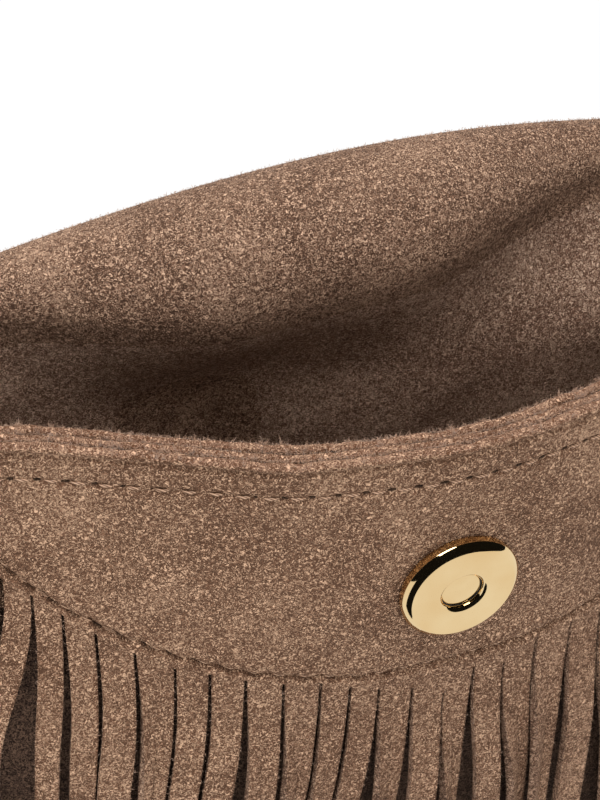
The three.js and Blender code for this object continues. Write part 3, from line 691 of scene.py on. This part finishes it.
def sew(name, path, out, pitch, gap=0.8, pit_lift=0.02):
    """A row of stitches along a path of points, with the outward normal at each point."""
    lengths = np.concatenate([[0], np.cumsum(np.linalg.norm(np.diff(path, axis=0), axis=1))])
    vertices = []
    faces = []
    pits = []
    draw = np.random.default_rng(len(path))
    for start in np.arange(pitch / 2, lengths[-1] - pitch, pitch):
        low = start + gap / 2 + draw.uniform(-0.12, 0.12)
        high = start + pitch - gap / 2 + draw.uniform(-0.12, 0.12)
        t = np.linspace(0, 1, ARCH_STEPS + 1)
        s = mix(low, high, t)
        centre = np.stack([np.interp(s, lengths, path[:, i]) for i in range(3)], 1)
        normal = unit(np.stack([np.interp(s, lengths, out[:, i]) for i in range(3)], 1))
        along = unit(np.gradient(centre, axis=0))
        side = np.cross(along, normal)
        arch = -0.42 * THREAD + 0.7 * THREAD * np.sin(math.pi * t) ** 0.6
        centre = centre + normal * arch[:, None] + side * draw.uniform(-0.05, 0.05)
        radius = 0.5 * THREAD * np.clip(np.sin(math.pi * t) ** 0.35, 0.25, 1)
        base = len(vertices)
        for j in range(ARCH_STEPS + 1):
            for a in round_of(THREAD_SIDES):
                vertices.append(centre[j] + radius[j] * (math.cos(a) * side[j] + math.sin(a) * normal[j]))
        faces += tube(ARCH_STEPS + 1, THREAD_SIDES, base, flip=True)
        # The needle leaves a small pit at the end of the stitch, too small to hollow out: a flattened bead
        # of dark suede stands for the shade inside it, painted shade.
        pit = centre[-1] + along[-1] * gap / 2 + normal[-1] * pit_lift
        base = len(vertices)
        stretch = draw.uniform(0.8, 1.3)
        for lift, share in ((-0.2, 0.6), (0.0, 1.0), (0.07, 0.7)):
            for a in round_of(THREAD_SIDES):
                step = 0.38 * gap * stretch * math.cos(a) * along[-1] + PIT_HALF * math.sin(a) * side[-1]
                vertices.append(pit + share * step + normal[-1] * lift)
        pits += tube(3, THREAD_SIDES, base)
    kinds = [0] * len(faces) + [1] * len(pits)
    return put(name, vertices, faces + pits, [thread, needle_shade_suede], kinds, "bag")


def on_front(x, row, lift):
    """Points and outward normals on the front, at a lift above the panel's outer face."""
    here = front_at(x, row)
    along = front_at(x + 0.5, row) - front_at(x - 0.5, row)
    upward = front_at(x, row + 0.5) - front_at(x, row - 0.5)
    normal = unit(np.cross(along, upward))
    return here + normal * lift, normal


YOKE_LIFT = CLOSED_GAP + SUEDE
row_x = np.linspace(-OVERLAY_HALF + 3, OVERLAY_HALF - 3, 400)
path, out = on_front(row_x, RIM - TOP_ROW_DROP + 0 * row_x, YOKE_LIFT - 0.22)
sew("rim_stitches", path, out, STITCH, gap=1.5)
seam_x = np.linspace(-YOKE_HALF + 1.5, YOKE_HALF - 1.5, 600)
path, out = on_front(seam_x, seam_height(seam_x), YOKE_LIFT - 0.66)
sew("yoke_seam_stitches", path, out, STITCH, gap=1.5, pit_lift=0.16)

# Seams of the body: the same thread, sewn through each panel into the turned edge of the gusset.
SEAM_INSET = 3.2
SEAM_END_DROP = 4.0
BODY_STITCH = 3.4


def outline(inset, top, face, lift):
    """A row that follows the U of a panel, inset from its edge, with its outward normals."""
    rows = rows_of(inset, top, 60, 200)
    right = np.stack([half_width(rows, inset), rows], 1)[::-1]
    left = np.stack([-half_width(rows, inset), rows], 1)
    way = np.concatenate([right, left])
    x, z = way[:, 0], way[:, 1]
    here = face(x, z)
    normal = unit(np.cross(face(x + 0.4, z) - face(x - 0.4, z), face(x, z + 0.4) - face(x, z - 0.4)))
    return here + normal * lift, normal


def back_at(x, z):
    return np.stack([x, wall_y(x, z), z], -1)


path, out = outline(SEAM_INSET, RIM - SEAM_END_DROP, front_at, 0.05)
sew("front_seam_stitches", path, out, BODY_STITCH)
path, out = outline(SEAM_INSET, GUSSET_END - SEAM_END_DROP, back_at, 0)
sew("back_seam_stitches", path + np.array([0, 0.05, 0]), -out, BODY_STITCH)

# Flap edge: back and lining are sewn together round the flap's free edge.
FLAP_SEAM_INSET = 4.0
flap_drop = np.linspace(0.02, 1, 200) * (FLAP_HANG - FLAP_SEAM_INSET)
flap_side = flap_half(flap_drop, 0) - FLAP_SEAM_INSET
end_x = np.linspace(flap_side[-1], -flap_side[-1], 40)[1:-1]
flap_way_x = np.concatenate([flap_side, end_x, -flap_side[::-1]])
flap_way_drop = np.concatenate([flap_drop, 0 * end_x + flap_drop[-1], flap_drop[::-1]])


def flap_at(x, drop):
    z = roll_centre(x) - drop
    sway = smooth(drop / 20) * ripple(x, z, 12, 55, 0.7)
    return np.stack([x, flap_y(x) + sway, z], -1)


flap_path = flap_at(flap_way_x, flap_way_drop)
rear = np.zeros_like(flap_path)
rear[:, 1] = 1.0
sew("flap_lining_stitches", flap_path + rear * (PLY_STEP + SUEDE), rear, STITCH)
sew("flap_back_stitches", flap_path, -rear, STITCH)

# Loose fibres: wherever the suede was cut, or turns away from the eye on the fold, its collagen fibres
# stand out as a pale fuzz, most of them under a millimetre long.
FIBRE = 0.05


def fibre_material():
    material, tree = new_material("loose_suede_fibre")
    return finished(material, node(tree, "BsdfPrincipled", {}, {
        "Base Color": linear("#b08d74"), "Roughness": 0.9, "Specular IOR Level": 0.1,
        "Sheen Weight": 0.3, "Sheen Roughness": 0.5}))


loose_fibre = fibre_material()


def fuzz(name, roots, out, count, length, seed, material_slot, spread=0.8, root_depth=0.1):
    """Curly fibres from random places along rows of roots: each is a thin three-sided thread that tapers."""
    draw = np.random.default_rng(seed)
    pick = draw.integers(0, len(roots), count)
    root = roots[pick] + draw.normal(0, 0.12, (count, 3))
    aim = unit(out[pick] + draw.normal(0, spread, (count, 3)))
    curl = draw.normal(0, 1, (count, 3))
    long = length * draw.uniform(0.3, 1.0, count) ** 1.6
    side = unit(np.cross(aim, curl))
    other = np.cross(aim, side)
    rings = []
    for t in (0.0, 0.35, 0.7, 1.0):
        bend = 0.45 * t * t
        centre = root + aim * (long * t - root_depth)[:, None] + curl * (bend * long)[:, None] * 0.5
        radius = FIBRE * (1 - 0.75 * t)
        for a in (0, 2 * math.pi / 3, 4 * math.pi / 3):
            rings.append(centre + radius * (math.cos(a) * side + math.sin(a) * other))
    vertices = np.stack(rings, 1).reshape(-1, 3)
    base = np.arange(count)[:, None] * 12
    cell = []
    for j in range(3):
        for a in range(3):
            b = (a + 1) % 3
            cell.append([3 * j + a, 3 * j + 3 + a, 3 * j + 3 + b, 3 * j + b])
    faces = (base[:, :, None] + np.array(cell)[None]).reshape(-1, 4).tolist()
    caps = np.concatenate([base + [[0, 1, 2]], base + [[11, 10, 9]]]).tolist()
    return put(name, vertices, faces + caps, [loose_fibre], [0] * (len(faces) + len(caps)), "bag")


upward = np.array([[0.0, 0.0, 1.0]])
rim_x = np.linspace(-OVERLAY_HALF + 2, OVERLAY_HALF - 2, 3000)
depths = (YOKE_LIFT - 0.1, YOKE_LIFT - SUEDE, -0.1, -SUEDE, -SUEDE - CLOSED_GAP - 0.1,
          -2 * SUEDE - CLOSED_GAP, -2 * SUEDE - CLOSED_GAP + 0.1)
rim_roots = np.concatenate([on_front(rim_x, RIM + 0 * rim_x, depth)[0] for depth in depths])
fuzz("rim_fibres", rim_roots, np.repeat(upward, len(rim_roots), 0), 12000, 0.9, 51, "yoke_suede")
CLUMPS = 70
clump_draw = np.random.default_rng(54)
clumps = rim_roots[clump_draw.integers(0, len(rim_roots), CLUMPS)] + upward * 0.15
fuzz("rim_clumps", clumps, np.repeat(upward, CLUMPS, 0), 2100, 1.3, 55, "yoke_suede", spread=0.45)

slit_roots = []
slit_out = []
for k in range(STRANDS + 1):
    for column, sign in ((k * (STRAND_COLUMNS + 1) - 1, 1), (k * (STRAND_COLUMNS + 1), -1)):
        if 0 <= column < len(points):
            own = normals[column, : FRINGE_ROWS + 1]
            slit_roots.append(points[column, : FRINGE_ROWS + 1] + own * (YOKE_LIFT - 0.1))
            slit_out.append(own * 0.6 + np.array([sign * 0.8, 0, 0]))
slit_roots = np.concatenate(slit_roots)
fuzz("slit_fibres", slit_roots, np.concatenate(slit_out), 8000, 0.5, 52, "yoke_suede")

fold_u = np.linspace(-0.97, 0.97, 1500)[:, None]
fold_v = np.linspace(1.2, 1.85, 60)[None, :]
fold_points = back_face(fold_u, fold_v, LINING_INSET)
fold_normal = -normals_of(back_face(-fold_u, fold_v, LINING_INSET))[::-1]
fold_roots = (fold_points + fold_normal * (PLY_STEP + SUEDE)).reshape(-1, 3)
fuzz("fold_fibres", fold_roots, fold_normal.reshape(-1, 3), 20000, 0.45, 53, "lining_suede")

# Snap, socket half: a cup pressed from thin brass and plated pale gold, over a ring magnet. Its face is
# flat and polished, a sloped shoulder turns sharply into its wall, and a rivet with an eased edge sits
# in the hole.
CAP_HEIGHT = 2.4
CAP_WALL = 1.1
CAP_FLAT = SNAP_RADIUS - 1.12
CAP_SHEET = 0.45
CAP_EDGE = 0.3
HOLE = 3.15
LIP = 0.5
HOLE_WALL, HOLE_DEPTH = 0.9, 1.3
METAL_GAP = 0.2
TURNED_SIDES = 160
SOCKET_FOOT = (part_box("snap_socket_cap")[1][1] / MM) + METAL_GAP


def polished_gold():
    """Gold-plated brass: a mirror with a breath of haze, and a faint unevenness from polishing."""
    material, tree = new_material("polished_gold_plate")
    in_mm = in_millimetres(tree)
    haze = node(tree, "TexNoise", {}, {"Vector": in_mm, "Scale": 0.5, "Detail": 4.0})
    rough = node(tree, "MapRange", {},
                 {"Value": haze.outputs["Fac"], "To Min": 0.03, "To Max": 0.09}).outputs[0]
    wear = node(tree, "TexNoise", {}, {"Vector": in_mm, "Scale": 0.16, "Detail": 2.0})
    colour = node(tree, "ValToRGB", {}, {"Fac": wear.outputs["Fac"]},
                  [(0.3, "#dfbf8b"), (0.7, "#e6cb9b")]).outputs["Color"]
    fine = node(tree, "TexNoise", {}, {"Vector": in_mm, "Scale": 9.0, "Detail": 2.0})
    relief = node(tree, "Bump", {}, {"Strength": 0.05, "Distance": 0.01 * MM, "Height": fine.outputs["Fac"]})
    return finished(material, node(tree, "BsdfPrincipled", {}, {
        "Base Color": colour, "Metallic": 1.0, "Roughness": rough, "Normal": relief.outputs["Normal"]}))


gold = polished_gold()


def quarter(r, h, a, b, count):
    t = np.linspace(0, math.pi / 2, count)
    return [[r + a * math.cos(k), h + b * math.sin(k)] for k in t]


def turned(name, profile, foot, sign, height, replaces, closed):
    """Turns a profile of radius and height about an axis along Y; sign is the way that the top faces."""
    profile = np.array(profile, float)
    vertices = [[r * math.cos(a), foot + sign * h, height + r * math.sin(a)]
                for r, h in profile for a in round_of(TURNED_SIDES)]
    faces = tube(len(profile), TURNED_SIDES, closed=closed, flip=sign < 0)
    piece = put(name, vertices, faces, [gold], [0] * len(faces), "bag", replaces)
    weighted = piece.modifiers.new("face_weighted_normals", "WEIGHTED_NORMAL")
    weighted.weight = 80
    return piece


cap_outer = [[SNAP_RADIUS, METAL_GAP], [SNAP_RADIUS, 0.6]]
# The shoulder falls from 24 to 62 degrees over a wide, gentle curve, and then turns sharply into the wall.
slopes = np.radians(np.linspace(62, 24, 20))
shoulder = np.stack([np.sin(slopes), np.cos(slopes)], 1)
shoulder -= shoulder[-1]
shoulder *= (SNAP_RADIUS - CAP_EDGE * (1 - math.sin(slopes[0])) - CAP_FLAT) / shoulder[0, 0]
edge_way = np.array([math.sin(slopes[0]), math.cos(slopes[0])])
edge_base = shoulder[0] + [CAP_FLAT, CAP_HEIGHT] - CAP_EDGE * edge_way
cap_outer += [[edge_base[0] + CAP_EDGE * math.sin(a), edge_base[1] + CAP_EDGE * math.cos(a)]
              for a in np.linspace(math.pi / 2, slopes[0], 9)[:-1]]
cap_outer += (shoulder + [CAP_FLAT, CAP_HEIGHT]).tolist()
LIP_SHARE = LIP / shoulder[0, 0]
cap_face = [[r, CAP_HEIGHT] for r in np.linspace(CAP_FLAT - 0.15, HOLE + LIP + 0.15, 6)]
cap_lip = np.stack([HOLE + LIP - shoulder[::-1, 0] * LIP_SHARE,
                    CAP_HEIGHT + shoulder[::-1, 1] * LIP_SHARE], 1).tolist()
hole_foot = CAP_HEIGHT - HOLE_DEPTH
cap_lip += [[HOLE, CAP_HEIGHT - HOLE_WALL], [HOLE, hole_foot], [HOLE + CAP_SHEET, hole_foot]]
cap_inner = [[HOLE + CAP_SHEET, CAP_HEIGHT - CAP_SHEET]]
cap_inner += quarter(CAP_FLAT - CAP_SHEET, CAP_WALL, SNAP_RADIUS - CAP_FLAT,
                     CAP_HEIGHT - CAP_WALL - CAP_SHEET, 12)[::-1]
cap_inner += [[SNAP_RADIUS - CAP_SHEET, METAL_GAP]]
turned("socket_cap", cap_outer + cap_face + cap_lip + cap_inner, SOCKET_FOOT, -1, SNAP_Z,
       ["snap_socket_cap"], True)

RIVET = HOLE - 0.1
RIVET_TOP = CAP_HEIGHT - 0.85
rivet_edge = quarter(RIVET - 0.22, RIVET_TOP - 0.22, 0.22, 0.22, 8)
turned("socket_rivet", [[RIVET, 0.9], *rivet_edge, [RIVET - 0.5, RIVET_TOP], [0.05, RIVET_TOP]],
       SOCKET_FOOT, -1, SNAP_Z, ["snap_socket_rivet"], False)

# Snap, stud half on the flap's lining: a plated plate with a low round stud that enters the socket's hole.
STUD_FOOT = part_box("snap_stud_base")[1][1] / MM
STUD_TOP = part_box("snap_stud_plate")[1][1] / MM - STUD_FOOT
PLATE_TOP = STUD_TOP - 0.7
plate_edge = quarter(SNAP_RADIUS - 0.5, PLATE_TOP - 0.5, 0.5, 0.5, 8)
stud_edge = quarter(RIVET - 0.25, STUD_TOP - 0.25, 0.25, 0.25, 8)
turned("stud_plate", [[SNAP_RADIUS, METAL_GAP], *plate_edge, [SNAP_RADIUS - 0.7, PLATE_TOP],
                      [RIVET + 0.1, PLATE_TOP], [RIVET, PLATE_TOP + 0.1], *stud_edge, [0.05, STUD_TOP]],
       STUD_FOOT, 1, STUD_Z, ["snap_stud_plate"], False)

# Hidden metal of the snap: zinc-plated steel bases and washers, and a sintered ferrite ring.


def plain_metal(name, low, high, metallic, rough_low, rough_high, grain_mm):
    """A dull metal or ceramic whose grain varies both its colour and its gloss."""
    material, tree = new_material(name)
    in_mm = in_millimetres(tree)
    grain = node(tree, "TexNoise", {}, {"Vector": in_mm, "Scale": 1 / grain_mm, "Detail": 3.0})
    colour = node(tree, "ValToRGB", {}, {"Fac": grain.outputs["Fac"]},
                  [(0.3, low), (0.7, high)]).outputs["Color"]
    rough = node(tree, "MapRange", {},
                 {"Value": grain.outputs["Fac"], "To Min": rough_low, "To Max": rough_high}).outputs[0]
    return finished(material, node(tree, "BsdfPrincipled", {}, {
        "Base Color": colour, "Metallic": metallic, "Roughness": rough}))


zinc = plain_metal("zinc_plated_steel", "#a9abad", "#cfd1d2", 1.0, 0.25, 0.4, 0.8)
ferrite = plain_metal("sintered_ferrite", "#232325", "#343436", 0.0, 0.6, 0.8, 0.4)
for name in ("snap_socket_base", "snap_socket_washer", "snap_stud_base", "snap_stud_washer"):
    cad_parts[name].material_slots[0].material = zinc
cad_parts["snap_socket_magnet"].material_slots[0].material = ferrite

# Strap tabs: a strip of suede folded round the bar of each D-ring, glued back to back and sewn to the
# gusset with a box of stitches.
TAB_WIDTH = 14.0
TAB_LENGTH = 39.0
TAB_SEAT = 0.6
TAB_LEATHER = 1.2
RING_WIRE = 1.5
LOOP_HOLE = RING_WIRE + 0.3
LOOP_OUTER = LOOP_HOLE + TAB_LEATHER
LOOP_X = TAB_SEAT + LOOP_OUTER
TAB_TOP = GUSSET_END - 3.5
TAB_FOOT = TAB_TOP - TAB_LENGTH
TAB_LEAN = math.atan2(float(half_width(TAB_FOOT) - half_width(TAB_TOP)), TAB_LENGTH)
TAB_X = float(half_width(TAB_FOOT) + half_width(TAB_TOP)) / 2


def tab_place(side, out, y, up):
    """From the tab's own outward, sideways and upward measures to the bag's frame."""
    turned_out = out * math.cos(TAB_LEAN) - up * math.sin(TAB_LEAN)
    turned_up = out * math.sin(TAB_LEAN) + up * math.cos(TAB_LEAN)
    return np.stack([side * (TAB_X + turned_out), side * y, (TAB_FOOT + TAB_TOP) / 2 + turned_up], -1)


def tab_line():
    """The middle of the folded strip, from its outer foot over the loop to its inner foot."""
    mid = LOOP_HOLE + TAB_LEATHER / 2
    stem = TAB_SEAT + 1.5 * TAB_LEATHER
    meet = math.acos((stem - LOOP_X) / mid)
    outer = [[stem, k] for k in np.linspace(-TAB_LENGTH / 2, TAB_LENGTH / 2 - mid * math.sin(meet), 40)[:-1]]
    loop = [[LOOP_X + mid * math.cos(a), TAB_LENGTH / 2 + mid * math.sin(a)]
            for a in np.linspace(-meet, math.pi, 40)]
    inner = [[TAB_SEAT + TAB_LEATHER / 2, k] for k in np.linspace(TAB_LENGTH / 2, -TAB_LENGTH / 2, 40)[1:]]
    return np.array(outer + loop + inner)


RING_HALF = TAB_WIDTH / 2 + RING_WIRE + 1
RING_CORNER = 2.5
RING_REACH = 14.0
RING_TILT = math.radians(14)
RING_SIDES = 28


def ring_line():
    """The centre line of a D-ring: bar, two corners, two short sides and a half-round bow."""
    bar = RING_HALF - RING_CORNER
    drop = RING_REACH - RING_HALF

    def arc(cx, cy, r, start, end, count):
        return [[cx + r * math.cos(a), cy + r * math.sin(a)] for a in np.linspace(start, end, count)]

    line = [[k, 0.0] for k in np.linspace(-bar, bar, 20)[1:-1]]
    line += arc(bar, RING_CORNER, RING_CORNER, -math.pi / 2, 0, 10)
    line += arc(0, drop, RING_HALF, 0, math.pi, 60)
    line += arc(-bar, RING_CORNER, RING_CORNER, math.pi, 1.5 * math.pi, 10)
    return np.array(line)


for side, word in ((-1, "left"), (1, "right")):
    line = tab_line()
    wide = np.linspace(-TAB_WIDTH / 2, TAB_WIDTH / 2, 25)
    grid = tab_place(side, line[:, 0][:, None] + 0 * wide, wide[None, :] + 0 * line[:, :1],
                     line[:, 1][:, None] + 0 * wide)
    half = TAB_LEATHER / 2 - 0.02
    vertices, faces, slots = cut_sheet(grid, half, -half, fuzz=0.05, seed=60 + side)
    put(f"strap_tab_suede_{word}", vertices, faces, SHEET_MATERIALS, slots, "bag",
        [f"strap_tab_{word}"])
    stem_out = TAB_SEAT + 2 * TAB_LEATHER
    inset_y, inset_up = TAB_WIDTH / 2 - 2, TAB_LENGTH / 2 - 2.5
    box = np.array([[inset_y, -inset_up], [-inset_y, -inset_up], [-inset_y, 6.0], [inset_y, 6.0],
                    [inset_y, -inset_up]])
    dense = np.concatenate([np.linspace(a, b, 30)[:-1] for a, b in zip(box[:-1], box[1:])])
    path = tab_place(side, stem_out + 0 * dense[:, 0], dense[:, 0], dense[:, 1])
    out = np.zeros_like(path)
    out[:, 0] = side
    sew(f"strap_tab_stitches_{word}", path, out, 2.8)

    # D-ring: 3 mm brass wire bent round, brazed shut in its bar and plated like the snap.
    line = ring_line()
    after = unit(np.roll(line, -1, 0) - np.roll(line, 1, 0))
    vertices = []
    for (across_y, down_z), (ty, tz) in zip(line, after):
        for a in round_of(RING_SIDES):
            y = across_y - tz * RING_WIRE * math.cos(a)
            drop = down_z + ty * RING_WIRE * math.cos(a)
            out_x = RING_WIRE * math.sin(a)
            swung_x = out_x * math.cos(RING_TILT) + drop * math.sin(RING_TILT)
            swung_z = out_x * math.sin(RING_TILT) - drop * math.cos(RING_TILT)
            vertices.append(tab_place(side, np.array(LOOP_X + swung_x), np.array(y),
                                      np.array(TAB_LENGTH / 2 + swung_z)))
    faces = tube(len(line), RING_SIDES, closed=True)
    put(f"d_ring_{word}", vertices, faces, [gold], [0] * len(faces), f"ring_{word}",
        [f"strap_ring_{word}"])

# Floor: a white sweep that the bag stands on. Seen straight, it glows a little, so that it stays white
# as paper while it still takes the bag's shadow.
FLOOR_REACH = 4.0


def white_sweep():
    material, tree = new_material("white_paper_sweep")
    rays = node(tree, "LightPath")
    seen = node(tree, "Math", {"operation": "MAXIMUM"},
                {0: rays.outputs["Is Camera Ray"], 1: rays.outputs["Is Transmission Ray"]}).outputs[0]
    part = node(tree, "Math", {"operation": "MULTIPLY"}, {0: seen, 1: 0.9}).outputs[0]
    glow = node(tree, "Math", {"operation": "MAXIMUM"},
                {0: part, 1: rays.outputs["Is Glossy Ray"]}).outputs[0]
    paper = node(tree, "BsdfDiffuse", {}, {"Color": linear("#f2f2f2")})
    # Painted reflection: rays mirrored by polished metal see the sheet glowing white, with a dark wedge
    # painted into it left of the camera, as if a black card lay there: a wedge that widens towards the
    # camera, from just left of straight ahead to 53 degrees off. The camera and diffuse light see only plain
    # paper.
    place = node(tree, "TexCoord").outputs["Object"]
    spot = node(tree, "SeparateXYZ", {}, {"Vector": place})
    slant = node(tree, "Math", {"operation": "MULTIPLY"}, {0: spot.outputs["Y"], 1: 1.35}).outputs[0]
    tests = [
        node(tree, "Math", {"operation": "LESS_THAN"}, {0: spot.outputs["Y"], 1: -0.1}),
        node(tree, "Math", {"operation": "LESS_THAN"}, {0: spot.outputs["X"], 1: -0.04}),
        node(tree, "Math", {"operation": "GREATER_THAN"}, {0: spot.outputs["X"], 1: slant}),
    ]
    dark_reflection_wedge = tests[0].outputs[0]
    for test in tests[1:]:
        dark_reflection_wedge = node(tree, "Math", {"operation": "MULTIPLY"}, {0: dark_reflection_wedge, 1: test.outputs[0]}).outputs[0]
    # Painted reflection: the white glow and the dark wedge that only mirrored rays see.
    sheet = node(tree, "ValToRGB", {}, {"Fac": dark_reflection_wedge},
                 [(0.2, "#ffffff"), (0.8, "#161616")]).outputs["Color"]
    colour = node(tree, "Mix", {"data_type": "RGBA"},
                  {0: rays.outputs["Is Glossy Ray"], 6: linear("#ffffff"), 7: sheet}).outputs[2]
    light = node(tree, "Emission", {}, {"Color": colour, "Strength": 1.0})
    return finished(material, node(tree, "MixShader", {},
                                   {0: glow, 1: paper.outputs[0], 2: light.outputs[0]}))


floor_mesh = bpy.data.meshes.new("floor")
corners = [(x * FLOOR_REACH, y * FLOOR_REACH, 0) for x, y in ((-1, -1), (1, -1), (1, 1), (-1, 1))]
floor_mesh.from_pydata(corners, [], [(0, 1, 2, 3)])
floor_mesh.materials.append(white_sweep())
floor = bpy.data.objects.new("floor", floor_mesh)
bpy.context.scene.collection.objects.link(floor)

# Light: a softbox above and a little to the left, and a strong even fill from the pale room. Polished metal
# mirrors painted reflections: the white sweep with its painted dark wedge, and a room painted dark on the
# camera's side that only mirrored rays see.
softbox = bpy.data.lights.new("overhead_softbox", "AREA")
softbox.shape = "RECTANGLE"
softbox.size = 0.7
softbox.size_y = 0.5
softbox.energy = 8.2
softbox_object = bpy.data.objects.new("overhead_softbox", softbox)
softbox_object.location = (-0.26, -0.06, 1.02)
aim = Vector((0, 0, 0.15)) - Vector(softbox_object.location)
softbox_object.rotation_euler = aim.to_track_quat("-Z", "Y").to_euler()
bpy.context.scene.collection.objects.link(softbox_object)

world = bpy.data.worlds.new("studio")
world.use_nodes = True
tree = world.node_tree
tree.nodes.clear()
way = node(tree, "TexCoord").outputs["Generated"]
ahead = node(tree, "SeparateXYZ", {}, {"Vector": way}).outputs["Y"]
depth = node(tree, "MapRange", {}, {"Value": ahead, "From Min": -1.0, "From Max": 1.0}).outputs[0]
# Painted reflection: only mirrored rays see this picture, dark on the camera's side and white behind; other
# rays take an even pale fill.
studio = node(tree, "ValToRGB", {}, {"Fac": depth},
              [(0.42, "#141414"), (0.57, "#1c1c1c"), (0.66, "#ffffff")]).outputs["Color"]
rays = node(tree, "LightPath")
mirrored = node(tree, "Math", {"operation": "MAXIMUM"},
                {0: rays.outputs["Is Glossy Ray"], 1: rays.outputs["Is Transmission Ray"]}).outputs[0]
lit = node(tree, "Mix", {"data_type": "RGBA"}, {0: mirrored, 6: linear("#edeceb"), 7: studio})
backdrop = node(tree, "Mix", {"data_type": "RGBA"},
                {0: rays.outputs["Is Camera Ray"], 6: lit.outputs[2], 7: linear("#ffffff")})
sky = node(tree, "Background", {}, {"Color": backdrop.outputs[2], "Strength": 1.0})
node(tree, "OutputWorld", {}, {"Surface": sky.outputs[0]})
bpy.context.scene.world = world
bpy.context.scene.view_settings.view_transform = "Standard"

# Camera: a long lens close to the mouth, from the left and well above, turned a few degrees. The snap's
# centre is placed where the photograph shows it.
AZIMUTH = math.radians(-24)
ELEVATION = math.radians(41.6)
ROLL = math.radians(4)
FOCAL_PX = 2600.0
PX_PER_MM = 7.1
FRAME_WIDE, FRAME_HIGH = 600, 800
SNAP_AT = (463.6, 593.6)
SENSOR = 36.0

toward = Vector((math.sin(AZIMUTH) * math.cos(ELEVATION), -math.cos(AZIMUTH) * math.cos(ELEVATION),
                 math.sin(ELEVATION)))
level = Vector((math.cos(AZIMUTH), math.sin(AZIMUTH), 0))
upright = toward.cross(level)
to_right = level * math.cos(ROLL) + upright * math.sin(ROLL)
to_top = upright * math.cos(ROLL) - level * math.sin(ROLL)
line_of_sight = (-toward + to_right * ((SNAP_AT[0] - FRAME_WIDE / 2) / FOCAL_PX)
                 + to_top * ((FRAME_HIGH / 2 - SNAP_AT[1]) / FOCAL_PX))
snap_face = Vector((0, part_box("snap_socket_cap")[0][1] / MM, SNAP_Z))
eye = (snap_face - line_of_sight * (FOCAL_PX / PX_PER_MM)) * MM
camera = bpy.data.cameras.new("camera")
camera.sensor_fit = "VERTICAL"
camera.sensor_height = SENSOR
camera.lens = FOCAL_PX / FRAME_HIGH * SENSOR
camera.clip_start = 0.01
camera_object = bpy.data.objects.new("camera", camera)
turn = Matrix((to_right, to_top, toward)).transposed()
camera_object.matrix_world = Matrix.Translation(eye) @ turn.to_4x4()
bpy.context.scene.collection.objects.link(camera_object)
bpy.context.scene.camera = camera_object
